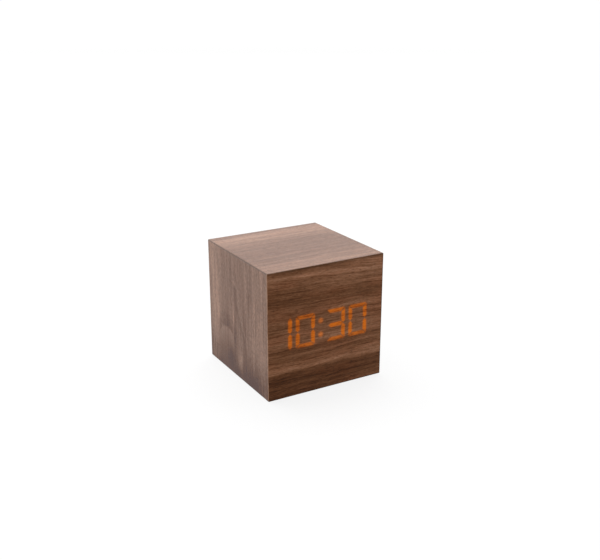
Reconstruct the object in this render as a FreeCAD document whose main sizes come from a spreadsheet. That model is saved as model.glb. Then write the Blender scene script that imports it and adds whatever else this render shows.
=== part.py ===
import FreeCAD, Part
import math
import os
import re
import Sketcher

# A cube clock in a mitred board case. Lit digits show through the front veneer.
# Millimetres. The origin is the middle of the base, +Z is up and the front faces -Y.

SIZES = {
    # Cells, their contacts and the tray: the case is sized round them.
    "cell_length": 44.5,
    "cell_radius": 5.25,
    "cell_nub_radius": 1.9,
    "cell_nub_height": 1.0,
    "cell_gap": 0.5,
    "cell_clearance": 0.25,
    "contact_thickness": 0.4,
    "contact_half_width": 4.0,
    "solder_tab_width": 3.0,
    "solder_tab_rise": 1.6,
    "spring_room": 3.2,
    "spring_wire": 0.5,
    "spring_play": 0.1,
    "spring_base_radius": 3.2,
    "spring_tip_radius": 1.9,
    "spring_turns": 3,
    "tray_wall": 1.15,
    "tray_side_room": 2.1,
    "flange_thickness": 1.2,
    "flange_reach": 4.0,
    "base_recess": 0.2,
    "saddle_thickness": 1.4,
    "saddle_spread": 11.0,
    "saddle_lift": 2.5,
    # Battery door.
    "door_thickness": 1.5,
    "door_clearance": 0.3,
    "door_tab_spread": 14.0,
    "door_tab_width": 5.0,
    "door_tab_thickness": 1.1,
    "door_tab_reach": 1.2,
    "door_stop_width": 4.0,
    "door_stop_depth": 1.2,
    "door_stop_gap": 0.1,
    "latch_width": 9.0,
    "latch_length": 8.0,
    "latch_slit": 0.8,
    "latch_bead": 0.2,
    # Case.
    "panel_thickness": 3.5,
    "veneer_thickness": 0.6,
    "edge_round": 0.5,
    "fit_clearance": 0.3,
    # Display.
    "digit_height": 15.6,
    "digit_width": 10.0,
    "stroke": 1.9,
    "stroke_gap": 0.35,
    "digit_pitch": 12.1,
    "colon_room": 4.3,
    "colon_dot": 2.0,
    "colon_rise": 3.4,
    "display_shift": 0.7,
    "display_rise": 0.4,
    "reflector_border": 2.0,
    "cell_wall_draft": 4.5,
    "lens_depth": 1.0,
    "led_length": 1.0,
    "led_width": 0.5,
    "led_height": 0.4,
    # Boards and their fixings.
    "board_thickness": 1.6,
    "display_board_border": 1.0,
    "display_board_reach": 5.0,
    "main_board_side_room": 2.5,
    "main_board_top_room": 2.5,
    "main_board_tray_room": 2.5,
    "main_board_standoff": 9.0,
    "screw_inset": 3.0,
    "screw_radius": 1.0,
    "screw_head_radius": 1.9,
    "screw_head_height": 1.3,
    "screw_bite": 2.2,
    "tray_screw_bite": 1.8,
    "screw_play": 0.1,
    "spacer_radius": 2.1,
    "lead_radius": 0.6,
    "lead_bend": 3.0,
    "lead_rise": 4.0,
    # Buttons.
    "button_drop": 13.0,
    "button_pitch": 12.0,
    "button_radius": 2.5,
    "button_recess": 0.2,
    "button_stem_side": 4.4,
    "button_flange_side": 7.2,
    "button_flange_thickness": 0.8,
    "button_travel": 0.3,
    "switch_side": 6.0,
    "switch_height": 3.6,
    "plunger_side": 2.4,
    "plunger_height": 1.2,
    "plunger_depth": 1.2,
    "plunger_play": 0.08,
    # Parts on the main board.
    "socket_spread": 14.0,
    "socket_rise": 7.0,
    "socket_side": 9.0,
    "socket_nose_radius": 3.1,
    "socket_bore_radius": 1.75,
    "socket_bore_depth": 9.0,
    "socket_pin_radius": 0.65,
    "socket_pin_setback": 1.0,
    "sensor_radius": 1.2,
    "sensor_leg_radius": 0.25,
    "microphone_radius": 3.0,
    "microphone_height": 2.7,
    "sound_hole_radius": 0.7,
    "chip_length": 10.3,
    "chip_width": 7.5,
    "chip_height": 2.3,
    "chip_stand": 0.2,
    "chip_draft": 4.5,
    "chip_pin_pitch": 1.27,
    "chip_pin_width": 0.42,
    "chip_pin_thickness": 0.25,
    "chip_pin_reach": 1.4,
    "chip_pins_per_side": 8,
    "crystal_length": 11.0,
    "crystal_width": 4.6,
    "crystal_height": 3.5,
    "crystal_corner": 1.4,
    "buzzer_radius": 6.0,
    "buzzer_height": 7.5,
    "coin_radius": 6.25,
    "coin_thickness": 2.0,
    "coin_holder_wall": 1.2,
    "coin_holder_floor": 1.0,
    "coin_clip_thickness": 0.3,
    "coin_clip_width": 5.0,
    "connector_width": 12.0,
    "connector_height": 5.0,
    "connector_depth": 4.0,
    "ribbon_width": 10.0,
    "ribbon_thickness": 0.9,
    "ribbon_x": 9.0,
    "ribbon_top_room": 2.0,
    "ribbon_bend": 2.0,
}

# Places worked out from the sizes, each from those above it.
PLACES = {
    "tray_inner_x": "cell_length / 2 + spring_room / 2 + contact_thickness",
    "tray_half_x": "tray_inner_x + tray_wall",
    "inner_half": "tray_half_x + tray_side_room",
    "half_side": "inner_half + panel_thickness",
    "case_side": "2 * half_side",
    "inner_top": "case_side - panel_thickness",
    "cell_pitch": "2 * cell_radius + cell_gap",
    "tray_inner_y": "cell_pitch + cell_radius + cell_clearance",
    "tray_half_y": "tray_inner_y + tray_wall",
    "flange_half_y": "tray_half_y + flange_reach",
    "flange_top": "base_recess + flange_thickness",
    "door_top": "base_recess + door_thickness",
    "cell_axis_z": "door_top + cell_clearance + cell_radius",
    "tray_roof": "cell_axis_z + cell_radius + cell_clearance",
    "tray_top": "tray_roof + tray_wall",
    "tab_low": "door_top - 0.1 * door_thickness",
    "tab_top": "tab_low + door_tab_thickness",
    "veneer_back": "-(half_side - veneer_thickness)",
    "display_z": "half_side + display_rise",
    "corner": "stroke_gap / sqrt(2)",
    "colon_x": "display_shift - (digit_width - stroke) / 2",
    "hour_ones_x": "colon_x - (digit_pitch + colon_room) / 2",
    "hour_tens_x": "hour_ones_x - digit_pitch",
    "minute_tens_x": "colon_x + (digit_pitch + colon_room) / 2",
    "minute_ones_x": "minute_tens_x + digit_pitch",
    "reflector_half_x": "(3 * digit_pitch + colon_room + stroke) / 2 + reflector_border",
    "reflector_half_z": "digit_height / 2 + reflector_border",
    "display_board_face": "-inner_half",
    "display_board_back": "display_board_face + board_thickness",
    "display_board_half_x": "reflector_half_x + display_board_border",
    "display_board_half_z": "reflector_half_z + display_board_reach",
    "display_screw_z": "reflector_half_z + display_board_reach / 2",
    "main_board_face": "inner_half - main_board_standoff",
    "main_board_back": "main_board_face - board_thickness",
    "main_board_half_x": "inner_half - main_board_side_room",
    "main_board_low": "tray_top + main_board_tray_room",
    "main_board_top": "inner_top - main_board_top_room",
    "main_board_mid": "(main_board_low + main_board_top) / 2",
    "main_screw_x": "main_board_half_x - screw_inset",
    "button_z": "case_side - button_drop",
    "switch_top": "main_board_face + switch_height",
    "plunger_top": "switch_top + plunger_height",
    "button_end": "half_side - button_recess",
    "flange_back": "inner_half - fit_clearance",
    "socket_z": "main_board_low + socket_rise",
    "socket_back": "inner_half - fit_clearance",
    "socket_floor": "button_end - socket_bore_depth",
    "ribbon_top": "inner_top - ribbon_top_room",
    "main_connector_z": "main_board_top - screw_inset - connector_height",
}

DIGITS = ["hour_ones_x", "minute_tens_x", "minute_ones_x"]
BUTTONS = {"set": -1, "up": 0, "down": 1}

doc = FreeCAD.newDocument("CubeClock")
sheet = doc.addObject("Spreadsheet::Sheet", "Sizes")
for row, (name, number) in enumerate(SIZES.items(), start=1):
    sheet.set(f"A{row}", name)
    sheet.set(f"B{row}", str(number))
    sheet.setAlias(f"B{row}", name)
doc.recompute()

nodes = []
cuts = []


def formula(text):
    """Write a formula of sizes and places in terms of the sheet's cells."""
    def cell(match):
        word = match.group()
        if word in PLACES:
            return "(" + formula(PLACES[word]) + ")"
        if word in SIZES:
            return "Sizes." + word
        return word
    return re.sub(r"[a-z][a-z_]*", cell, str(text))


def bind(thing, **formulas):
    """Tie properties to formulas. A double underscore stands for a dot in a property's name."""
    for name, text in formulas.items():
        thing.setExpression(name.replace("__", "."), formula(text))


def derived_places():
    """A set of variables that holds each place as a number, tied to the sheet."""
    variables = doc.addObject("App::VarSet", "Places")
    for name in PLACES:
        variables.addProperty("App::PropertyFloat", name)
        bind(variables, **{name: name})
    doc.recompute()
    return variables


def keep(node, label):
    """List a finished sub-part under its own name."""
    node.Label = label
    nodes.append(node)


def new_body(label):
    """A sub-part's own body."""
    body = doc.addObject("PartDesign::Body", label)
    keep(body, label)
    return body


def box_form(name, x, y, z):
    """A plain box from pairs of low and high formulas, for booleans."""
    box = doc.addObject("Part::Box", name)
    bind(box, Length=f"({x[1]}) - ({x[0]})", Width=f"({y[1]}) - ({y[0]})", Height=f"({z[1]}) - ({z[0]})",
         Placement__Base__x=x[0], Placement__Base__y=y[0], Placement__Base__z=z[0])
    return box


def datum(body, role):
    """One of a body's own origin planes or axes."""
    return next(item for item in body.Origin.OriginFeatures if item.Role == role)


def place(body, x=0, y=0, z=0, turn=None):
    """Turn a body about (axis, degrees), then carry it to x, y, z."""
    if turn:
        axis, degrees = turn
        body.Placement.Rotation = FreeCAD.Rotation(FreeCAD.Vector(*axis), degrees)
    bind(body, Placement__Base__x=x, Placement__Base__y=y, Placement__Base__z=z)


def new_sketch(body, role, level=0):
    """A sketch on an origin plane, carried along that plane's axis to a level."""
    sketch = body.newObject("Sketcher::SketchObject", body.Name + "_sketch")
    sketch.AttachmentSupport = [(datum(body, role), "")]
    sketch.MapMode = "FlatFace"
    sign = "-1" if role == "XZ_Plane" else "1"
    bind(sketch, AttachmentOffset__Base__z=f"{sign} * ({level})")
    return sketch


def pin_point(sketch, edge, point, x, y):
    """Hold one point of an edge at x, y from the sketch's origin."""
    for kind, text in (("DistanceX", x), ("DistanceY", y)):
        index = sketch.addConstraint(Sketcher.Constraint(kind, -1, 1, edge, point, 1.0))
        bind(sketch, **{f"Constraints[{index}]": text})


def draw_polygon(sketch, points):
    """A closed outline of straight edges through points given as pairs of formulas."""
    count = len(points)
    first = sketch.GeometryCount
    for step in range(count):
        start = 2 * math.pi * step / count
        end = 2 * math.pi * (step + 1) / count
        corners = [FreeCAD.Vector(math.cos(angle), math.sin(angle), 0) for angle in (start, end)]
        sketch.addGeometry(Part.LineSegment(*corners), False)
    for step, (x, y) in enumerate(points):
        sketch.addConstraint(
            Sketcher.Constraint("Coincident", first + (step - 1) % count, 2, first + step, 1))
        pin_point(sketch, first + step, 1, x, y)


def draw_line(sketch, points):
    """An open line of straight edges through points given as pairs of formulas."""
    for step, (x, y) in enumerate(points[1:]):
        start = FreeCAD.Vector(step, step, 0)
        sketch.addGeometry(Part.LineSegment(start, start + FreeCAD.Vector(1, 1, 0)), False)
        if step:
            sketch.addConstraint(Sketcher.Constraint("Coincident", step - 1, 2, step, 1))
        pin_point(sketch, step, 2, x, y)
    pin_point(sketch, 0, 1, *points[0])


def draw_rectangle(sketch, low_x, high_x, low_y, high_y):
    draw_polygon(sketch, [(low_x, low_y), (high_x, low_y), (high_x, high_y), (low_x, high_y)])


def draw_hexagon(sketch, radius):
    draw_polygon(sketch, [(f"{radius} * cos({60 * corner}deg)", f"{radius} * sin({60 * corner}deg)")
                          for corner in range(6)])


def draw_circle(sketch, x, y, radius):
    edge = sketch.addGeometry(Part.Circle(FreeCAD.Vector(), FreeCAD.Vector(0, 0, 1), 1.0), False)
    index = sketch.addConstraint(Sketcher.Constraint("Radius", edge, 1.0))
    bind(sketch, **{f"Constraints[{index}]": radius})
    pin_point(sketch, edge, 3, x, y)


def pad(body, sketch, length, taper=None):
    """Raise a sketch along its plane's axis, towards larger coordinates."""
    feature = body.newObject("PartDesign::Pad", body.Name + "_pad")
    feature.Profile = sketch
    feature.Reversed = sketch.AttachmentSupport[0][0].Role == "XZ_Plane"
    bind(feature, Length=length)
    if taper:
        bind(feature, TaperAngle=f"-({taper})")
    return feature


def cut(body, sketch, length, taper=None):
    """Cut a sketch into its body along its plane's axis, towards larger coordinates."""
    feature = body.newObject("PartDesign::Pocket", body.Name + "_cut")
    feature.Profile = sketch
    feature.Reversed = sketch.AttachmentSupport[0][0].Role != "XZ_Plane"
    bind(feature, Length=length)
    if taper:
        bind(feature, TaperAngle=f"-({taper})")
    cuts.append(feature)


def add_box(body, x, y, z):
    """Pad a box from pairs of low and high formulas."""
    sketch = new_sketch(body, "XY_Plane", z[0])
    draw_rectangle(sketch, *x, *y)
    pad(body, sketch, f"({z[1]}) - ({z[0]})")


def cut_box(body, x, y, z):
    sketch = new_sketch(body, "XY_Plane", z[0])
    draw_rectangle(sketch, *x, *y)
    cut(body, sketch, f"({z[1]}) - ({z[0]})")


def revolve(body, points):
    """Turn an outline of (radius, height) pairs about the body's Z axis."""
    sketch = new_sketch(body, "XZ_Plane")
    draw_polygon(sketch, points)
    feature = body.newObject("PartDesign::Revolution", body.Name + "_turning")
    feature.Profile = sketch
    feature.ReferenceAxis = (datum(body, "Z_Axis"), [""])
    feature.Angle = 360
    return feature


def repeat(body, features, count, axis, length):
    """Repeat features evenly along one of the body's axes."""
    pattern = body.newObject("PartDesign::LinearPattern", body.Name + "_row")
    pattern.Originals = features
    pattern.Direction = (datum(body, axis), [""])
    bind(pattern, Length=length, Occurrences=count)
    body.Tip = pattern


def round_edges(body, edges, radius):
    """Fillet the edges of the body's tip that a test picks."""
    doc.recompute()
    tip = body.Tip
    names = [f"Edge{number}" for number, edge in enumerate(tip.Shape.Edges, start=1) if edges(edge)]
    feature = body.newObject("PartDesign::Fillet", body.Name + "_fillet")
    feature.Base = (tip, names)
    bind(feature, Radius=radius)
    return feature


# Case


def rounded_cube():
    """The whole case's outer form, which trims every panel's outer edges."""
    body = doc.addObject("PartDesign::Body", "case_form")
    add_box(body, ("-half_side", "half_side"), ("-half_side", "half_side"), ("0", "case_side"))
    round_edges(body, lambda edge: True, "edge_round")
    return body


def mitred_board(label, outer, inner, turn):
    """A square board with its edges mitred, drawn as the front one and turned about the middle.

    outer and inner are its faces' distances from the middle of the case.
    """
    board = doc.addObject("PartDesign::Body", label + "_board")
    wedge = board.newObject("PartDesign::AdditiveWedge", label + "_wedge")
    bind(wedge, Xmin=f"-({outer})", Xmax=outer, Zmin=f"-({outer})", Zmax=outer,
         X2min=f"-({inner})", X2max=inner, Z2min=f"-({inner})", Z2max=inner,
         Ymin=f"-({outer})", Ymax=f"-({inner})")
    place(board, z="half_side", turn=turn)
    return board


def trim(label, board, form):
    """Keep what lies inside the rounded form, under the piece's own name."""
    piece = doc.addObject("Part::Common", label)
    piece.Base = board
    piece.Tool = form
    keep(piece, label)


def case_panels():
    """Six mitred boards, the front one thinner behind its veneer."""
    form = rounded_cube()
    turns = {
        "left_panel": ((0, 0, 1), -90),
        "right_panel": ((0, 0, 1), 90),
        "top_panel": ((1, 0, 0), -90),
        "bottom_panel": ((1, 0, 0), 90),
        "back_panel": ((0, 0, 1), 180),
    }
    for label, turn in turns.items():
        board = mitred_board(label, "half_side", "inner_half", turn)
        if label == "back_panel":
            back_cuts(board)
        if label == "bottom_panel":
            bottom_cuts(board)
        trim(label, board, form)
    upright_board = ((0, 0, 1), 0)
    veneer = mitred_board("front_veneer", "half_side", "half_side - veneer_thickness", upright_board)
    trim("front_veneer", veneer, form)
    front = mitred_board("front_panel", "half_side - veneer_thickness", "inner_half", upright_board)
    front_cuts(front)
    keep(front, "front_panel")


def front_cuts(board):
    """The display window, and a pilot hole for each of the display's screws."""
    window = new_sketch(board, "XZ_Plane", "-(half_side - veneer_thickness)")
    half_x = "(reflector_half_x + fit_clearance)"
    half_z = "(reflector_half_z + fit_clearance)"
    draw_rectangle(window, f"display_shift - {half_x}", f"display_shift + {half_x}",
                   f"display_rise - {half_z}", f"display_rise + {half_z}")
    cut(board, window, "panel_thickness")
    pilots = new_sketch(board, "XZ_Plane", "-inner_half - screw_bite")
    for end in (-1, 1):
        draw_circle(pilots, "display_shift", f"display_rise + {end} * display_screw_z",
                    "screw_radius + screw_play")
    cut(board, pilots, "screw_bite")


def back_cuts(board):
    """Holes for the buttons, power plug, temperature sensor and sound, and the board's pilots.

    The board is drawn as the front one and turned half round, so its x runs backwards here.
    """
    holes = new_sketch(board, "XZ_Plane", "-half_side")
    for place_in_row in BUTTONS.values():
        draw_circle(holes, f"-{place_in_row} * button_pitch", "button_z - half_side",
                    "button_radius + fit_clearance")
    low_row = "socket_z - half_side"
    draw_circle(holes, "-socket_spread", low_row, "socket_nose_radius + fit_clearance")
    draw_circle(holes, "socket_spread", low_row, "sensor_radius + fit_clearance")
    draw_circle(holes, "0", low_row, "sound_hole_radius")
    cut(board, holes, "panel_thickness")
    pilots = new_sketch(board, "XZ_Plane", "-inner_half - screw_bite")
    for side in (-1, 1):
        draw_circle(pilots, f"{side} * main_screw_x", "main_board_mid - half_side",
                    "screw_radius + screw_play")
    cut(board, pilots, "screw_bite")


def bottom_cuts(board):
    """The tray's opening, the rebate its flange lies in and the flange's pilot holes.

    The board is drawn as the front one and turned to face down, so its z runs to the front here.
    """
    opening = new_sketch(board, "XZ_Plane", "-half_side")
    half_x = "(tray_half_x + fit_clearance)"
    half_y = "(tray_half_y + fit_clearance)"
    draw_rectangle(opening, f"-{half_x}", half_x, f"-{half_y}", half_y)
    cut(board, opening, "panel_thickness")
    rebate = new_sketch(board, "XZ_Plane", "-half_side")
    reach = "(flange_half_y + fit_clearance)"
    draw_rectangle(rebate, f"-{half_x}", half_x, f"-{reach}", reach)
    cut(board, rebate, "flange_top")
    pilots = new_sketch(board, "XZ_Plane", "flange_top - half_side")
    for end in (-1, 1):
        draw_circle(pilots, "0", f"{end} * (tray_half_y + flange_reach / 2)", "screw_radius + screw_play")
    cut(board, pilots, "tray_screw_bite")


# Display


def upright(side, end):
    """One upright segment, right or left by side, upper or lower by end.

    Its outer end is cut on the digit's corner mitre and its inner end is a point.
    """
    stroke, corner = sheet.get("stroke"), places.corner
    outer = sheet.get("digit_width") / 2
    top = sheet.get("digit_height") / 2
    points = [
        (outer, top - corner),
        (outer, stroke / 2 + corner),
        (outer - stroke / 2, corner),
        (outer - stroke, stroke / 2 + corner),
        (outer - stroke, top - stroke - corner),
    ]
    return [(side * x, end * z) for x, z in points]


def lone_upright(end):
    """The upper or lower segment of the digit that only shows a one, pointed at both ends."""
    half, corner = sheet.get("stroke") / 2, places.corner
    outer = sheet.get("digit_width") / 2
    top = sheet.get("digit_height") / 2 - corner
    points = [
        (outer, top - half),
        (outer, half + corner),
        (outer - half, corner),
        (outer - 2 * half, half + corner),
        (outer - 2 * half, top - half),
        (outer - half, top),
    ]
    return [(x, end * z) for x, z in points]


def level_bar(end):
    """The top or bottom segment, both ends cut on the corner mitres."""
    stroke = sheet.get("stroke")
    outer = sheet.get("digit_width") / 2 - places.corner
    top = sheet.get("digit_height") / 2
    points = [(-outer, top), (outer, top), (outer - stroke, top - stroke), (stroke - outer, top - stroke)]
    return [(x, end * z) for x, z in points]


def middle_bar():
    """The middle segment, pointed at both ends."""
    half = sheet.get("stroke") / 2
    tip = sheet.get("digit_width") / 2 - half - places.corner
    shoulder = tip - half
    return [(-tip, 0), (-shoulder, half), (shoulder, half), (tip, 0), (shoulder, -half), (-shoulder, -half)]


def colon_dot(end):
    """The upper or lower square dot."""
    half = sheet.get("colon_dot") / 2
    rise = end * sheet.get("colon_rise")
    return [(-half, rise - half), (half, rise - half), (half, rise + half), (-half, rise + half)]


def display_outlines():
    """The outline of every segment on the front, seen from there, as lists of x and z."""
    digit = [upright(side, end) for side in (-1, 1) for end in (-1, 1)]
    digit += [level_bar(1), level_bar(-1), middle_bar()]
    # The first digit only ever shows a one, so it has two right-hand segments alone.
    characters = [(places.hour_tens_x, [lone_upright(1), lone_upright(-1)]),
                  (places.colon_x, [colon_dot(1), colon_dot(-1)])]
    characters += [(getattr(places, centre), digit) for centre in DIGITS]
    return [[(centre + x, places.display_z + z) for x, z in outline]
            for centre, outlines in characters for outline in outlines]


def inset(outline, distance):
    """The outline of a convex shape with every edge moved inwards."""
    count = len(outline)
    middle = FreeCAD.Vector(sum(x for x, _ in outline) / count, 0, sum(z for _, z in outline) / count)
    corners = [FreeCAD.Vector(x, 0, z) for x, z in outline]
    moved = []
    for index, corner in enumerate(corners):
        before = (corner - corners[index - 1]).normalize()
        after = (corners[(index + 1) % count] - corner).normalize()
        # Both edges shift by the distance, so their corner moves along the sum of their normals.
        normals = [FreeCAD.Vector(-edge.z, 0, edge.x) for edge in (before, after)]
        shift = (normals[0] + normals[1]) * (distance / (1 + normals[0].dot(normals[1])))
        if shift.dot(middle - corner) < 0:
            shift = shift * -1
        moved.append(corner + shift)
    return moved


def tapered_cell(outline, front, back, draft):
    """A flat-sided solid with an outline at its front that narrows by a draft angle to its back."""
    mouth = [FreeCAD.Vector(x, front, z) for x, z in outline]
    narrowing = (back - front) * math.tan(math.radians(draft))
    floor = [point + FreeCAD.Vector(0, back, 0) for point in inset(outline, narrowing)]
    faces = [Part.Face(Part.makePolygon(ring + ring[:1])) for ring in (mouth, floor)]
    for index in range(len(mouth)):
        around = [mouth[index - 1], mouth[index], floor[index], floor[index - 1]]
        faces.append(Part.Face(Part.makePolygon(around + around[:1])))
    solid = Part.makeSolid(Part.makeShell(faces))
    return solid if solid.Volume > 0 else solid.reversed()


def display_optics():
    """A block with a cell for each segment, each narrowing to its lamp, and the cells' clear fillings."""
    cells_form = doc.addObject("Part::Feature", "display_cells")
    cells_form.Shape = Part.makeCompound([
        tapered_cell(outline, places.veneer_back, places.display_board_face, sheet.get("cell_wall_draft"))
        for outline in display_outlines()])
    wide = ("display_shift - reflector_half_x", "display_shift + reflector_half_x")
    high = ("display_z - reflector_half_z", "display_z + reflector_half_z")
    reflector = doc.addObject("Part::Cut", "display_reflector")
    reflector.Base = box_form("reflector_block", wide, ("veneer_back", "display_board_face"), high)
    reflector.Tool = cells_form
    keep(reflector, "display_reflector")
    lenses = doc.addObject("Part::Common", "segment_lenses")
    lenses.Base = box_form("lens_layer", wide, ("veneer_back", "veneer_back + lens_depth"), high)
    lenses.Tool = cells_form
    keep(lenses, "segment_lenses")


def lamp_places():
    """The centre of every segment, as pairs of formulas."""
    lamps = []
    for centre in ["hour_tens_x"] + DIGITS:
        sides = (1,) if centre == "hour_tens_x" else (-1, 1)
        for side in sides:
            for end in (-1, 1):
                lamps.append((f"{centre} + {side} * (digit_width - stroke) / 2",
                              f"display_z + {end} * digit_height / 4"))
    for centre in DIGITS:
        for end in (-1, 0, 1):
            lamps.append((centre, f"display_z + {end} * (digit_height - stroke) / 2"))
    for end in (-1, 1):
        lamps.append(("colon_x", f"display_z + {end} * colon_rise"))
    return lamps


def segment_leds():
    """One small lamp behind each segment."""
    body = new_body("segment_leds")
    sketch = new_sketch(body, "XZ_Plane", "display_board_face - led_height")
    for x, z in lamp_places():
        draw_rectangle(sketch, f"{x} - led_width / 2", f"{x} + led_width / 2",
                       f"{z} - led_length / 2", f"{z} + led_length / 2")
    pad(body, sketch, "led_height")


def display_board():
    body = new_body("display_board")
    sketch = new_sketch(body, "XZ_Plane", "display_board_face")
    draw_rectangle(sketch, "display_shift - display_board_half_x", "display_shift + display_board_half_x",
                   "display_z - display_board_half_z", "display_z + display_board_half_z")
    pad(body, sketch, "board_thickness")
    holes = new_sketch(body, "XZ_Plane", "display_board_face")
    for end in (-1, 1):
        draw_circle(holes, "display_shift", f"display_z + {end} * display_screw_z",
                    "screw_radius + screw_play")
    cut(body, holes, "board_thickness")


def screw_set(label, turn, x, y, z, stack, axis, spread):
    """Two pan-head screws. Each is drawn head up, the second along an axis from the first.

    stack is the thickness of all that lies under the head.
    """
    body = new_body(label)
    length = f"({stack})"
    turning = revolve(body, [
        ("0", f"-{length}"), ("screw_radius", f"-{length}"), ("screw_radius", "0"),
        ("screw_head_radius", "0"), ("screw_head_radius", "screw_head_height"), ("0", "screw_head_height"),
    ])
    repeat(body, [turning], "2", axis, spread)
    place(body, x, y, z, turn)


def display_fixings():
    """Screws through the display board into the front panel, above and below the display."""
    screw_set("display_screws", ((1, 0, 0), -90), "display_shift", "display_board_back",
              "display_z + display_screw_z", "board_thickness + screw_bite - screw_play",
              "Y_Axis", "2 * display_screw_z")


# Main board


def main_board():
    body = new_body("main_board")
    sketch = new_sketch(body, "XZ_Plane", "main_board_back")
    draw_rectangle(sketch, "-main_board_half_x", "main_board_half_x", "main_board_low", "main_board_top")
    pad(body, sketch, "board_thickness")
    holes = new_sketch(body, "XZ_Plane", "main_board_back")
    for side in (-1, 1):
        draw_circle(holes, f"{side} * main_screw_x", "main_board_mid", "screw_radius + screw_play")
    cut(body, holes, "board_thickness")


def main_board_fixings():
    """Six-sided spacers and the screws that run through them and the board into the back panel.

    They lie level with the board's middle, between the buttons above and the socket below.
    """
    row = ("X_Axis", "2 * main_screw_x")
    turn = ((1, 0, 0), 90)
    spacers = new_body("board_spacers")
    sketch = new_sketch(spacers, "XY_Plane")
    draw_hexagon(sketch, "spacer_radius")
    draw_circle(sketch, "0", "0", "screw_radius + screw_play")
    tube = pad(spacers, sketch, "main_board_standoff")
    repeat(spacers, [tube], "2", *row)
    place(spacers, "-main_screw_x", "inner_half", "main_board_mid", turn)
    screw_set("board_screws", turn, "-main_screw_x", "main_board_back", "main_board_mid",
              "board_thickness + main_board_standoff + screw_bite - screw_play", *row)


def square(body, side, level, length):
    """Pad a square about the body's Z axis."""
    half = f"({side}) / 2"
    add_box(body, (f"-{half}", half), (f"-{half}", half), (level, f"({level}) + {length}"))


def buttons():
    """Three round caps on square stems, each on the plunger of its own switch."""
    outwards = ((1, 0, 0), -90)
    for name, place_in_row in BUTTONS.items():
        x = f"{place_in_row} * button_pitch"
        switch = new_body(name + "_switch")
        square(switch, "switch_side", "0", "switch_height")
        bore = "(plunger_side / 2 + plunger_play)"
        cut_box(switch, (f"-{bore}", bore), (f"-{bore}", bore),
                ("switch_height - plunger_depth - 2 * button_travel", "switch_height"))
        place(switch, x, "main_board_face", "button_z", outwards)

        plunger = new_body(name + "_plunger")
        square(plunger, "plunger_side", "-plunger_depth", "plunger_depth + plunger_height")
        place(plunger, x, "switch_top", "button_z", outwards)

        cap = new_body(name + "_cap")
        rim = "(flange_back - plunger_top)"
        square(cap, "button_stem_side", "0", rim)
        square(cap, "button_flange_side", f"{rim} - button_flange_thickness", "button_flange_thickness")
        nose = new_sketch(cap, "XY_Plane", rim)
        draw_circle(nose, "0", "0", "button_radius")
        pad(cap, nose, "button_end - flange_back")
        place(cap, x, "plunger_top", "button_z", outwards)


def power_socket():
    """A socket standing on the board, its nose in the back panel's hole."""
    body = new_body("power_socket")
    sketch = new_sketch(body, "XZ_Plane", "main_board_face")
    draw_rectangle(sketch, "socket_spread - socket_side / 2", "socket_spread + socket_side / 2",
                   "socket_z - socket_side / 2", "socket_z + socket_side / 2")
    pad(body, sketch, "socket_back - main_board_face")
    nose = new_sketch(body, "XZ_Plane", "socket_back")
    draw_circle(nose, "socket_spread", "socket_z", "socket_nose_radius")
    pad(body, nose, "button_end - socket_back")
    bore = new_sketch(body, "XZ_Plane", "socket_floor")
    draw_circle(bore, "socket_spread", "socket_z", "socket_bore_radius")
    cut(body, bore, "socket_bore_depth")

    pin = new_body("socket_pin")
    length = "(socket_bore_depth - socket_pin_setback)"
    revolve(pin, [("0", "0"), ("socket_pin_radius", "0"), ("socket_pin_radius", length), ("0", length)])
    place(pin, "socket_spread", "socket_floor", "socket_z", ((1, 0, 0), -90))


def temperature_sensor():
    """A bead on two legs, in its hole in the back panel."""
    body = new_body("temperature_sensor")
    legs = new_sketch(body, "XZ_Plane", "main_board_face")
    for side in (-1, 1):
        middle = f"({side} * sensor_radius / 2 - socket_spread)"
        draw_rectangle(legs, f"{middle} - sensor_leg_radius", f"{middle} + sensor_leg_radius",
                       "socket_z - sensor_leg_radius", "socket_z + sensor_leg_radius")
    pad(body, legs, "inner_half - main_board_face")
    bead = new_sketch(body, "XZ_Plane", "inner_half")
    draw_circle(bead, "-socket_spread", "socket_z", "sensor_radius")
    pad(body, bead, "panel_thickness / 2")


def microphone():
    body = new_body("microphone")
    revolve(body, [("0", "0"), ("microphone_radius", "0"), ("microphone_radius", "microphone_height"),
                   ("0", "microphone_height")])
    place(body, "0", "main_board_face", "socket_z", ((1, 0, 0), -90))


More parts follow.
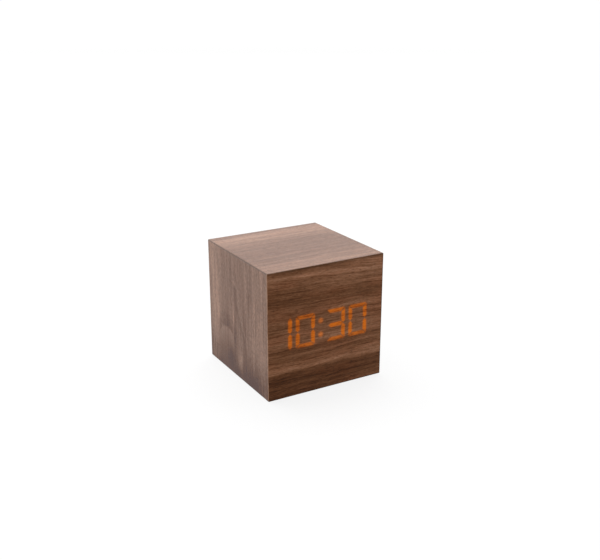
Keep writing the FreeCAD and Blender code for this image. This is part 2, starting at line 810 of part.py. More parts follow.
def controller():
    """The control chip with its two rows of bent legs, and the quartz crystal beside it."""
    forwards = ((1, 0, 0), 90)
    x = "-main_board_half_x / 2"
    z = "main_board_mid + chip_width"
    chip = new_body("controller_chip")
    sketch = new_sketch(chip, "XY_Plane", "chip_stand")
    draw_rectangle(sketch, "-chip_length / 2", "chip_length / 2", "-chip_width / 2", "chip_width / 2")
    pad(chip, sketch, "chip_height - chip_stand", taper="chip_draft")
    place(chip, x, "main_board_back", z, forwards)

    legs = new_body("chip_legs")
    first = "(-(chip_pins_per_side - 1) * chip_pin_pitch / 2 - chip_pin_width / 2)"
    half = "(chip_width / 2)"
    bend = f"({half} + chip_pin_reach)"
    shoulder = "(chip_height / 2)"
    rows = []
    for side in (-1, 1):
        leg = new_sketch(legs, "YZ_Plane", first)
        draw_polygon(leg, [
            (f"{side} * {half}", shoulder),
            (f"{side} * ({bend} - chip_pin_thickness)", shoulder),
            (f"{side} * ({bend} - chip_pin_thickness)", "0"),
            (f"{side} * {bend}", "0"),
            (f"{side} * {bend}", f"{shoulder} + chip_pin_thickness"),
            (f"{side} * {half}", f"{shoulder} + chip_pin_thickness"),
        ])
        rows.append(pad(legs, leg, "chip_pin_width"))
    repeat(legs, rows, "chip_pins_per_side", "X_Axis", "(chip_pins_per_side - 1) * chip_pin_pitch")
    place(legs, x, "main_board_back", z, forwards)

    crystal = new_body("quartz_crystal")
    can = new_sketch(crystal, "XY_Plane")
    end = "crystal_length / 2"
    side = "crystal_width / 2"
    quarter = [(end, f"({side} - crystal_corner)"), (f"({end} - crystal_corner)", side)]
    outline = [(x, y) for x, y in quarter]
    outline += [(f"-{x}", y) for x, y in reversed(quarter)]
    outline += [(f"-{x}", f"-{y}") for x, y in quarter]
    outline += [(x, f"-{y}") for x, y in reversed(quarter)]
    draw_polygon(can, outline)
    pad(crystal, can, "crystal_height")
    under_legs = f"{z} - chip_width / 2 - chip_pin_reach - fit_clearance"
    place(crystal, x, "main_board_back", f"{under_legs} - crystal_width / 2", forwards)


def buzzer():
    body = new_body("buzzer")
    revolve(body, [("0", "0"), ("buzzer_radius", "0"), ("buzzer_radius", "buzzer_height"),
                   ("0", "buzzer_height")])
    place(body, "-main_board_half_x / 2", "main_board_back", "main_board_low + screw_inset + buzzer_radius",
          ((1, 0, 0), 90))


def backup_cell():
    """A coin cell that keeps the time, in a channel-shaped holder under a sprung strap."""
    forwards = ((1, 0, 0), 90)
    x = "main_board_half_x / 2 - coin_holder_wall"
    z = "main_board_low + screw_inset + coin_radius + coin_holder_wall"
    holder = new_body("coin_cell_holder")
    half = "(coin_radius + coin_holder_wall)"
    add_box(holder, (f"-{half}", half), (f"-{half}", half), ("0", "coin_holder_floor + coin_thickness"))
    cut_box(holder, ("-coin_radius", "coin_radius"), (f"-{half}", half),
            ("coin_holder_floor", "coin_holder_floor + coin_thickness"))
    place(holder, x, "main_board_back", z, forwards)

    coin = new_body("coin_cell")
    revolve(coin, [("0", "0"), ("coin_radius", "0"), ("coin_radius", "coin_thickness"),
                   ("0", "coin_thickness")])
    place(coin, x, "main_board_back - coin_holder_floor", z, forwards)

    clip = new_body("coin_cell_clip")
    strap = new_sketch(clip, "XY_Plane", "coin_holder_floor + coin_thickness")
    draw_rectangle(strap, f"-{half}", half, "-coin_clip_width / 2", "coin_clip_width / 2")
    pad(clip, strap, "coin_clip_thickness")
    for side in (-1, 1):
        foot = new_sketch(clip, "XY_Plane")
        near = f"{side} * {half}"
        far = f"{side} * ({half} + coin_clip_thickness)"
        ends = (near, far) if side == 1 else (far, near)
        draw_rectangle(foot, *ends, "-coin_clip_width / 2", "coin_clip_width / 2")
        pad(clip, foot, "coin_holder_floor + coin_thickness + coin_clip_thickness")
    place(clip, x, "main_board_back", z, forwards)


def ribbon():
    """A flat cable that rises from the display board, crosses the case and drops to the main board."""
    ends = (("display_connector", "display_board_back", "display_z"),
            ("main_connector", "main_board_back - connector_depth", "main_connector_z"))
    for label, face, z in ends:
        body = new_body(label)
        add_box(body, ("ribbon_x - connector_width / 2", "ribbon_x + connector_width / 2"),
                (face, f"{face} + connector_depth"),
                (f"{z} - connector_height / 2", f"{z} + connector_height / 2"))

    body = new_body("ribbon_cable")
    half = "ribbon_thickness / 2"
    front = "(display_board_back + connector_depth / 2)"
    back = "(main_board_back - connector_depth / 2)"
    foot = "(display_z + connector_height / 2)"
    drop = "(main_connector_z + connector_height / 2)"
    under = "(ribbon_top - ribbon_thickness)"
    sketch = new_sketch(body, "YZ_Plane", "ribbon_x - ribbon_width / 2")
    draw_polygon(sketch, [
        (f"{front} - {half}", foot), (f"{front} - {half}", "ribbon_top"),
        (f"{back} + {half}", "ribbon_top"), (f"{back} + {half}", drop),
        (f"{back} - {half}", drop), (f"{back} - {half}", under),
        (f"{front} + {half}", under), (f"{front} + {half}", foot),
    ])
    pad(body, sketch, "ribbon_width")
    round_edges(body, lambda edge: level_edge(edge, places.ribbon_top), "ribbon_bend + ribbon_thickness")
    under_z = places.ribbon_top - sheet.get("ribbon_thickness")
    round_edges(body, lambda edge: level_edge(edge, under_z), "ribbon_bend")


def level_edge(edge, height):
    """Whether an edge runs along X at a height."""
    box = edge.BoundBox
    return box.YLength < 0.01 and box.ZLength < 0.01 and abs(box.ZMax - height) < 0.01


# Battery tray


def battery_tray():
    """An open-bottomed tray with a flange, saddles for the cells and slots for the door's tabs."""
    body = new_body("battery_tray")
    half_x = ("-tray_half_x", "tray_half_x")
    inner_x = ("-tray_inner_x", "tray_inner_x")
    add_box(body, half_x, ("-tray_half_y", "tray_half_y"), ("base_recess", "tray_top"))
    add_box(body, half_x, ("-flange_half_y", "flange_half_y"), ("base_recess", "flange_top"))
    cut_box(body, inner_x, ("-tray_inner_y", "tray_inner_y"), ("base_recess", "tray_roof"))
    for side in (-1, 1):
        middle = f"{side} * saddle_spread"
        add_box(body, (f"{middle} - saddle_thickness / 2", f"{middle} + saddle_thickness / 2"),
                ("-tray_inner_y", "tray_inner_y"), ("cell_axis_z + saddle_lift", "tray_roof"))
    saddles = new_sketch(body, "YZ_Plane", "-saddle_spread - saddle_thickness")
    reach = "(cell_radius + cell_clearance)"
    foot = f"(2 * {reach} - saddle_lift) * tan(30deg)"
    crown = f"{reach} * tan(30deg)"
    for row in (-1, 0, 1):
        middle = f"{row} * cell_pitch"
        draw_polygon(saddles, [
            (f"{middle} - {foot}", "cell_axis_z + saddle_lift"), (f"{middle} - {crown}", "tray_roof"),
            (f"{middle} + {crown}", "tray_roof"), (f"{middle} + {foot}", "cell_axis_z + saddle_lift"),
        ])
    cut(body, saddles, "2 * (saddle_spread + saddle_thickness)")
    for side in (-1, 1):
        middle = f"{side} * door_tab_spread"
        half_tab = "(door_tab_width / 2 + door_clearance)"
        cut_box(body, (f"{middle} - {half_tab}", f"{middle} + {half_tab}"),
                ("-tray_half_y", "-tray_inner_y"), ("flange_top", "tab_top + door_tab_thickness"))
        add_box(body, (f"{middle} - door_stop_width / 2", f"{middle} + door_stop_width / 2"),
                ("tray_inner_y - door_stop_depth", "tray_inner_y"),
                ("door_top + door_stop_gap", "door_top + door_stop_depth"))
    slot = "(solder_tab_width / 2 + door_clearance)"
    cut_box(body, ("tray_inner_x - 2 * contact_thickness", "tray_inner_x"),
            (f"-cell_pitch - {slot}", f"-cell_pitch + {slot}"), ("tray_roof", "tray_top"))
    cut_box(body, ("-tray_inner_x", "2 * contact_thickness - tray_inner_x"),
            (f"cell_pitch - {slot}", f"cell_pitch + {slot}"), ("tray_roof", "tray_top"))
    holes = new_sketch(body, "XY_Plane", "base_recess")
    sinks = new_sketch(body, "XY_Plane", "base_recess")
    for end in (-1, 1):
        y = f"{end} * (tray_half_y + flange_reach / 2)"
        draw_circle(holes, "0", y, "screw_radius + screw_play")
        draw_circle(sinks, "0", y, "screw_head_radius + screw_play")
    cut(body, holes, "flange_thickness")
    cut(body, sinks, "screw_head_radius - screw_radius", taper="45")

    screws = new_body("tray_screws")
    tip = "-flange_thickness - tray_screw_bite + screw_play"
    turning = revolve(screws, [("0", tip), ("screw_radius", tip),
                               ("screw_radius", "screw_radius - screw_head_radius"),
                               ("screw_head_radius", "0"), ("0", "0")])
    repeat(screws, [turning], "2", "Y_Axis", "2 * tray_half_y + flange_reach")
    place(screws, "0", "tray_half_y + flange_reach / 2", "base_recess", ((1, 0, 0), 180))


def contacts():
    """End plates: one for each pole of the row of cells, and two that link neighbours."""
    half = "contact_half_width"
    low_z = f"cell_axis_z - {half}"
    high_z = f"cell_axis_z + {half}"
    plates = {
        "positive_contact": (1, f"-cell_pitch - {half}", f"-cell_pitch + {half}", "-cell_pitch"),
        "negative_contact": (-1, f"cell_pitch - {half}", f"cell_pitch + {half}", "cell_pitch"),
        "front_link": (-1, f"-cell_pitch - {half}", half, None),
        "rear_link": (1, f"-{half}", f"cell_pitch + {half}", None),
    }
    for label, (side, low_y, high_y, tab) in plates.items():
        body = new_body(label)
        ends = ("tray_inner_x - contact_thickness", "tray_inner_x")
        if side == -1:
            ends = ("-tray_inner_x", "contact_thickness - tray_inner_x")
        add_box(body, ends, (low_y, high_y), (low_z, high_z))
        if tab:
            add_box(body, ends, (f"{tab} - solder_tab_width / 2", f"{tab} + solder_tab_width / 2"),
                    (high_z, "tray_top + solder_tab_rise"))


def cells():
    """Three cells side by side, the middle one the other way round."""
    for row, label in ((-1, "front_cell"), (0, "middle_cell"), (1, "rear_cell")):
        body = new_body(label)
        shoulder = "(cell_length - cell_nub_height)"
        revolve(body, [
            ("0", "0"), ("cell_radius", "0"), ("cell_radius", shoulder),
            ("cell_nub_radius", shoulder), ("cell_nub_radius", "cell_length"), ("0", "cell_length"),
        ])
        side = -1 if row == 0 else 1
        place(body, f"{side} * (tray_inner_x - contact_thickness - cell_length)",
              f"{row} * cell_pitch", "cell_axis_z", ((0, 1, 0), 90 * side))


def coil(wire, base_radius, tip_radius, low, high, turns):
    """One conical spring about Z: a square wire carried round in short straight steps.

    low and high are the heights of the wire's middle at its ends.
    """
    steps_per_turn = 8
    steps = turns * steps_per_turn
    line = []
    for step in range(steps + 1):
        radius = base_radius + (tip_radius - base_radius) * step / steps
        angle = 2 * math.pi * step / steps_per_turn
        line.append(FreeCAD.Vector(radius * math.cos(angle), radius * math.sin(angle),
                                   low + (high - low) * step / steps))
    half = wire / 2
    section = Part.makePolygon([FreeCAD.Vector(half, 0, half), FreeCAD.Vector(-half, 0, half),
                                FreeCAD.Vector(-half, 0, -half), FreeCAD.Vector(half, 0, -half),
                                FreeCAD.Vector(half, 0, half)])
    facing = FreeCAD.Rotation(FreeCAD.Vector(0, 1, 0), line[1] - line[0])
    section.Placement = FreeCAD.Placement(line[0], facing)
    return Part.makePolygon(line).makePipeShell([section], True, False, 1)


def contact_springs():
    """A conical spring behind the flat end of each cell."""
    group = doc.addObject("Part::Feature", "contact_springs")
    wire = sheet.get("spring_wire")
    end = wire / 2 + sheet.get("spring_play")
    spring = coil(wire, sheet.get("spring_base_radius"), sheet.get("spring_tip_radius"),
                  end, sheet.get("spring_room") - end, int(sheet.get("spring_turns")))
    plate = places.tray_inner_x - sheet.get("contact_thickness")
    copies = []
    for row in (-1, 0, 1):
        side = -1 if row == 0 else 1
        copy = spring.copy()
        copy.Placement = FreeCAD.Placement(
            FreeCAD.Vector(-side * plate, row * places.cell_pitch, 0),
            FreeCAD.Rotation(FreeCAD.Vector(0, 1, 0), 90 * side))
        copies.append(copy)
    group.Shape = Part.makeCompound(copies)
    keep(group, "contact_springs")
    bind(group, Placement__Base__z="cell_axis_z")


def lead(label, side, row):
    """A wire that rises from a solder tab, bends and runs back to the main board."""
    body = new_body(label)
    route = new_sketch(body, "YZ_Plane")
    draw_line(route, [
        ("0", "0"),
        ("0", "lead_rise"),
        ("lead_bend * (1 - cos(45deg))", "lead_rise + lead_bend * sin(45deg)"),
        ("lead_bend", "lead_rise + lead_bend"),
        (f"main_board_back - {row} * cell_pitch", "lead_rise + lead_bend"),
    ])
    section = new_sketch(body, "XY_Plane")
    draw_hexagon(section, "lead_radius")
    sweep = body.newObject("PartDesign::AdditivePipe", label + "_sweep")
    sweep.Profile = section
    sweep.Spine = (route, [])
    sweep.Transition = "Right corner"
    place(body, f"{side} * (tray_inner_x - contact_thickness / 2)", f"{row} * cell_pitch",
          "tray_top + solder_tab_rise")


def battery_door():
    """A flush lid on two hooked tabs, with a sprung latch tongue at the back."""
    body = new_body("battery_door")
    wide = ("-(tray_inner_x - door_clearance)", "tray_inner_x - door_clearance")
    front = "(-tray_inner_y + door_clearance)"
    back = "(tray_inner_y - door_clearance)"
    add_box(body, wide, (front, back), ("base_recess", "door_top"))
    for side in (-1, 1):
        middle = f"{side} * door_tab_spread"
        span = (f"{middle} - door_tab_width / 2", f"{middle} + door_tab_width / 2")
        add_box(body, span, (front, f"{front} + door_tab_thickness"), ("door_top", "tab_top"))
        add_box(body, span, (f"{front} - door_tab_reach", f"{front} + door_tab_thickness"),
                ("tab_low", "tab_top"))
    for side in (-1, 1):
        edge = f"{side} * latch_width / 2"
        cut_box(body, (f"{edge} - latch_slit / 2", f"{edge} + latch_slit / 2"),
                (f"{back} - latch_length", back), ("base_recess", "door_top"))
    bead = "(latch_width / 2 - latch_slit)"
    add_box(body, (f"-{bead}", bead), (back, f"{back} + latch_bead"),
            ("base_recess + door_thickness / 3", "door_top - door_thickness / 3"))
    grip = new_sketch(body, "XY_Plane", "base_recess")
    for line in range(3):
        centre = f"{back} - latch_length / 4 * {line + 1}"
        draw_rectangle(grip, f"-{bead}", bead, f"{centre} - latch_slit / 2", f"{centre} + latch_slit / 2")
    cut(body, grip, "latch_slit / 2")


places = derived_places()
case_panels()
display_optics()
segment_leds()
display_board()
display_fixings()
main_board()
main_board_fixings()
buttons()
power_socket()
temperature_sensor()
microphone()
controller()
buzzer()
backup_cell()
ribbon()
battery_tray()
contacts()
cells()
contact_springs()
lead("positive_lead", 1, -1)
lead("negative_lead", -1, 1)
battery_door()

doc.recompute()
for item in doc.Objects:
    if "Invalid" in item.State or "Error" in item.State:
        raise ValueError(f"{item.Label} failed: {item.State}")
for feature in cuts:
    if not feature.Shape.Volume < feature.BaseFeature.Shape.Volume:
        raise ValueError(f"{feature.Label} cuts nothing")
for node in nodes:
    if node.Shape.isNull() or not node.Shape.isValid():
        raise ValueError(f"{node.Label} has no valid shape")

os.makedirs("parts", exist_ok=True)
for node in nodes:
    node.Shape.exportStep(f"parts/{node.Label}.step")
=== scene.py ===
"""A walnut cube clock with an amber display, in a white studio.

Objects are in metres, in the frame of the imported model: the front faces -Y and Z is up.
Materials, and the numbers named below, are in millimetres unless they say otherwise.
"""

import math

import bmesh
import bpy
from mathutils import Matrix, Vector


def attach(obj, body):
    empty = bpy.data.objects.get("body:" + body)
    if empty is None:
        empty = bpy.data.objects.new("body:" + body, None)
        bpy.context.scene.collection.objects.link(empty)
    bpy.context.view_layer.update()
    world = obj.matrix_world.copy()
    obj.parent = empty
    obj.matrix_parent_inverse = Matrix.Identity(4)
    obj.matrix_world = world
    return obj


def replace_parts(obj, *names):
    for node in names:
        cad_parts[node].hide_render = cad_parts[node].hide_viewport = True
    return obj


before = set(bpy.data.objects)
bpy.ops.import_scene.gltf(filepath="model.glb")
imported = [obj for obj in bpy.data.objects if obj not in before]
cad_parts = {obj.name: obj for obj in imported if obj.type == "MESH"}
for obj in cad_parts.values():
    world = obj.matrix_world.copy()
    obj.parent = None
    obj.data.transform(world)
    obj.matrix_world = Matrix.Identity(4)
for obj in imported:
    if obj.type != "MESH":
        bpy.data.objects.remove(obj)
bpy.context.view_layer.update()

MM_PER_M = 1000
# The cube's side and half of it.
SIDE = 62.0
HALF = 31.0


# Fields: numbers that vary over a surface.


class Field:
    """One output of a material's nodes, with arithmetic that adds Math nodes."""

    def __init__(self, tree, socket):
        self.tree = tree
        self.socket = socket

    def __add__(self, other):
        return compute(self.tree, "ADD", self, other)

    def __radd__(self, other):
        return compute(self.tree, "ADD", other, self)

    def __sub__(self, other):
        return compute(self.tree, "SUBTRACT", self, other)

    def __rsub__(self, other):
        return compute(self.tree, "SUBTRACT", other, self)

    def __mul__(self, other):
        return compute(self.tree, "MULTIPLY", self, other)

    def __truediv__(self, other):
        return compute(self.tree, "DIVIDE", self, other)

    def __abs__(self):
        return compute(self.tree, "ABSOLUTE", self)

    def root(self):
        return compute(self.tree, "SQRT", self)

    def least(self, other):
        return compute(self.tree, "MINIMUM", self, other)

    def most(self, other):
        return compute(self.tree, "MAXIMUM", self, other)

    def soft_least(self, other, reach):
        """The lesser of two, rounded off where they come within reach of each other."""
        return compute(self.tree, "SMOOTH_MIN", self, other, reach)

    def wave(self):
        return compute(self.tree, "SINE", self)

    def part(self):
        """What is left above the whole number below."""
        return compute(self.tree, "FRACT", self)

    def rise(self, low, high):
        """Goes smoothly from 0 at low to 1 at high."""
        node = self.tree.nodes.new("ShaderNodeMapRange")
        node.interpolation_type = "SMOOTHSTEP"
        fill(self.tree, node.inputs["Value"], self)
        node.inputs["From Min"].default_value = low
        node.inputs["From Max"].default_value = high
        return Field(self.tree, node.outputs["Result"])


def fill(tree, socket, value):
    """Sets a socket to a plain value, or joins it to a field."""
    if isinstance(value, Field):
        tree.links.new(value.socket, socket)
    else:
        socket.default_value = value


def compute(tree, operation, *values):
    """The field that a Math node works out from fields and numbers."""
    node = tree.nodes.new("ShaderNodeMath")
    node.operation = operation
    for socket, value in zip(node.inputs, values):
        fill(tree, socket, value)
    return Field(tree, node.outputs[0])


def distance(first, second):
    """The length of a line from its two parts at a right angle."""
    return (first * first + second * second).root()


# Colours and materials.


def grey(level):
    return (level, level, level, 1.0)


def paint(red, green, blue):
    """The colour that shows as these 0 to 255 values."""
    levels = (level / 255 for level in (red, green, blue))
    return (*(c / 12.92 if c < 0.04045 else ((c + 0.055) / 1.055) ** 2.4 for c in levels), 1.0)


def even_stops(*paints):
    """A colour ramp's stops, evenly spaced from its dark end to its light end."""
    return [(number / (len(paints) - 1), paint(*levels)) for number, levels in enumerate(paints)]


class Surface:
    """A material in the making, with the object's own x, y and z in millimetres."""

    def __init__(self, name):
        self.material = bpy.data.materials.new(name)
        self.material.use_nodes = True
        self.tree = self.material.node_tree
        self.shader = self.tree.nodes["Principled BSDF"]
        coordinates = self.tree.nodes.new("ShaderNodeTexCoord")
        parts = self.tree.nodes.new("ShaderNodeSeparateXYZ")
        self.tree.links.new(coordinates.outputs["Object"], parts.inputs[0])
        self.x, self.y, self.z = (Field(self.tree, output) * MM_PER_M for output in parts.outputs)

    def vector(self, x, y, z):
        node = self.tree.nodes.new("ShaderNodeCombineXYZ")
        for socket, value in zip(node.inputs, (x, y, z)):
            fill(self.tree, socket, value)
        return Field(self.tree, node.outputs[0])

    def noise(self, x, y, z, detail=2.0, roughness=0.5):
        """Soft noise about 0.5, with features about one unit of its coordinates long."""
        node = self.tree.nodes.new("ShaderNodeTexNoise")
        fill(self.tree, node.inputs["Vector"], self.vector(x, y, z))
        node.inputs["Scale"].default_value = 1.0
        node.inputs["Detail"].default_value = detail
        node.inputs["Roughness"].default_value = roughness
        return Field(self.tree, node.outputs[0])

    def grit(self, size, detail=2.0):
        """The same noise in every direction, with features about size across."""
        return self.noise(self.x / size, self.y / size, self.z / size, detail)

    def ramp(self, field, stops, spread="LINEAR"):
        """The colour or grey level that a field stands for, between stops of place and colour."""
        node = self.tree.nodes.new("ShaderNodeValToRGB")
        node.color_ramp.interpolation = spread
        elements = node.color_ramp.elements
        while len(elements) < len(stops):
            elements.new(0.5)
        for element, (place, _) in zip(elements, stops):
            element.position = place
        for element, (_, colour) in zip(elements, stops):
            element.color = colour if isinstance(colour, tuple) else grey(colour)
        fill(self.tree, node.inputs[0], field)
        return Field(self.tree, node.outputs[0])

    def mix(self, factor, first, second, blend="MIX"):
        """The first colour where the factor is 0 and the second where it is 1."""
        node = self.tree.nodes.new("ShaderNodeMix")
        node.data_type = "RGBA"
        node.blend_type = blend
        # The sockets for colours follow those for numbers and vectors.
        fill(self.tree, node.inputs[0], factor)
        fill(self.tree, node.inputs[6], first)
        fill(self.tree, node.inputs[7], second)
        return Field(self.tree, node.outputs[2])

    def bump(self, height):
        """Relief from a height in millimetres."""
        node = self.tree.nodes.new("ShaderNodeBump")
        node.inputs["Strength"].default_value = 1.0
        node.inputs["Distance"].default_value = 1 / MM_PER_M
        fill(self.tree, node.inputs["Height"], height)
        self.tree.links.new(node.outputs[0], self.shader.inputs["Normal"])

    def finish(self, colour, roughness, height=None, **settings):
        """Joins the fields to the shader. settings are the shader's other sockets by name."""
        fill(self.tree, self.shader.inputs["Base Color"], colour)
        fill(self.tree, self.shader.inputs["Roughness"], roughness)
        if height is not None:
            self.bump(height)
        for name, value in settings.items():
            socket = name.replace("_", " ").title().replace("Ior", "IOR")
            fill(self.tree, self.shader.inputs[socket], value)
        return self.material


# Walnut.

FILM_SPECULAR = 0.26
LEFT_SPECULAR = 0.17
VENEER_SPECULAR = 0.07
FILM_SHEEN = 0.12
VENEER_SHEEN = 0.04
SHEEN_ROUGHNESS = 0.45

VENEER_COLOURS = even_stops((38, 16, 4), (70, 38, 16), (98, 62, 38), (127, 87, 62), (156, 116, 91))
# The left face's own colours, greyer and paler than the film's: a painted sheen that makes up for
# its lower specular.
LEFT_COLOURS_WITH_PAINTED_SHEEN = even_stops((60, 22, 3), (86, 52, 30), (110, 81, 65), (136, 104, 86), (163, 132, 114))
FILM_COLOURS = even_stops((50, 18, 3), (79, 42, 20), (103, 69, 48), (131, 95, 74), (159, 125, 105))
REDDER = (1.10, 0.93, 0.86, 1.0)
DARK_PORE = paint(46, 25, 12)
PORE_DARKNESS = 0.55
DARK_FOLD = paint(50, 31, 18)
LEFT_FOLD_DARKNESS = 0.9
TOP_FOLD_DARKNESS = 0.38
FOLD_DARKNESS = 0.6
# The paler front left corner: partly wear, partly a painted highlight on the rounded edge.
WORN_AND_HIGHLIT_FOLD = paint(190, 152, 126)
WEAR_AND_HIGHLIGHT_STRENGTH = 0.5
FIBRES = [(0.3, paint(120, 90, 62)), (0.7, paint(172, 138, 102))]

# The broad bands across the grain: how far each is from the first edge, and how light it is.
FRONT_BANDS = [
    (0, 0.53), (3, 0.70), (7.5, 0.51), (10.5, 0.51), (13.8, 0.36), (16.5, 0.42), (19.5, 0.58),
    (27, 0.49), (32.5, 0.61), (39, 0.49), (43, 0.52), (46, 0.66), (48.3, 0.66), (50.8, 0.29),
    (54, 0.26), (62, 0.33),
]
TOP_BANDS = [
    (0, 0.44), (4, 0.62), (7, 0.73), (12, 0.68), (15, 0.60), (19, 0.55), (24.5, 0.43), (28, 0.49),
    (34, 0.41), (39, 0.46), (47, 0.49), (53, 0.59), (62, 0.55),
]
LEFT_BANDS = [
    (0, 0.53), (4, 0.68), (11, 0.62), (17, 0.48), (26, 0.44), (34, 0.42), (42, 0.43), (50, 0.50),
    (57, 0.54), (62, 0.48),
]
RIGHT_BANDS = [
    (0, 0.48), (8, 0.60), (13, 0.42), (22, 0.52), (30, 0.66), (37, 0.40), (48, 0.54), (56, 0.36),
    (62, 0.46),
]
BACK_BANDS = [
    (0, 0.40), (6, 0.56), (14, 0.34), (19, 0.50), (30, 0.62), (36, 0.44), (45, 0.30), (52, 0.52),
    (62, 0.44),
]
BOTTOM_BANDS = [(0, 0.42), (9, 0.55), (20, 0.38), (33, 0.58), (47, 0.44), (62, 0.50)]

# The layers of the grain: how long and how wide their features are.
WAVER = (46, 26)
RIPPLE = (16, 7)
STREAKS = (60, 2.6)
VEINS = (30, 1.1)
DASHES = (7.0, 0.55)
HAIRS = (2.2, 0.34)
CLOUDS = (14, 8)
FLECKS = (1.5, 0.8)
PORES = (2.0, 0.16)
HUES = (26, 6)
UNEVEN_EDGES = (9, 9)
GLOSS = (20, 1.2)
ARCH_WAVER = (15, 9)
# How far the first two move the others.
WAVER_REACH = 4.4
RIPPLE_REACH = 0.9
# How strongly the middle layers show. The lift makes up for what veins and dashes darken.
STREAK_STRENGTH = 1.15
VEIN_STRENGTH = 0.17
DASH_STRENGTH = 0.17
CLOUD_STRENGTH = 0.16
LIFT = 0.07

# The front's lines slant and draw together to the right, about this place across them.
SLANT_ACROSS = 15
SLANT_CLOSING = 0.08
SLANT_RISE = 3
# A painted sheen makes it a little lighter towards its lower right and at its upper right.
LOWER_RIGHT_PAINTED_SHEEN = 0.05
UPPER_RIGHT_PAINTED_SHEEN = 0.10

# The left face's arch: its middle, its shape, and how light its rings are by their distance from
# the middle.
ARCH_ACROSS = 19.6
ARCH_ALONG = 47.5
ARCH_WIDENING = 0.94
ARCH_WAVER_REACH = 3.0
RING_UNEVENNESS = 1.6
ARCH_RINGS = [
    (0, 0.48), (4, 0.51), (7.2, 0.55), (9.0, 0.26), (12.0, 0.36), (14.5, 0.50), (17, 0.46),
    (18.6, 0.31), (20.2, 0.56), (22, 0.42), (26, 0.50),
]
# Its core, which the lines leave calm, and the darkening towards the bottom edge, a painted shade
# where the face meets the floor.
CALM_LIGHT = 0.47
CALM_STRENGTH = 0.6
PAINTED_FLOOR_SHADE = 0.38
# Dark and light patches: their place across and along, width, height and how much darker.
ARCH_PATCHES = [
    (24, 54, 5, 9, 0.28), (30.5, 61.5, 5, 6, 0.38), (47, 62, 13, 13, 0.30), (34, 52.5, 5, 8, -0.42),
    (12, 62, 9, 6, 0.16),
]

# How far below the face the film or veneer ends and the board's fibres begin.
SKIN_EDGE = (0.34, 0.42)
FIBRE_SIZE = 0.35
SKIN_ROUGHNESS = 0.40


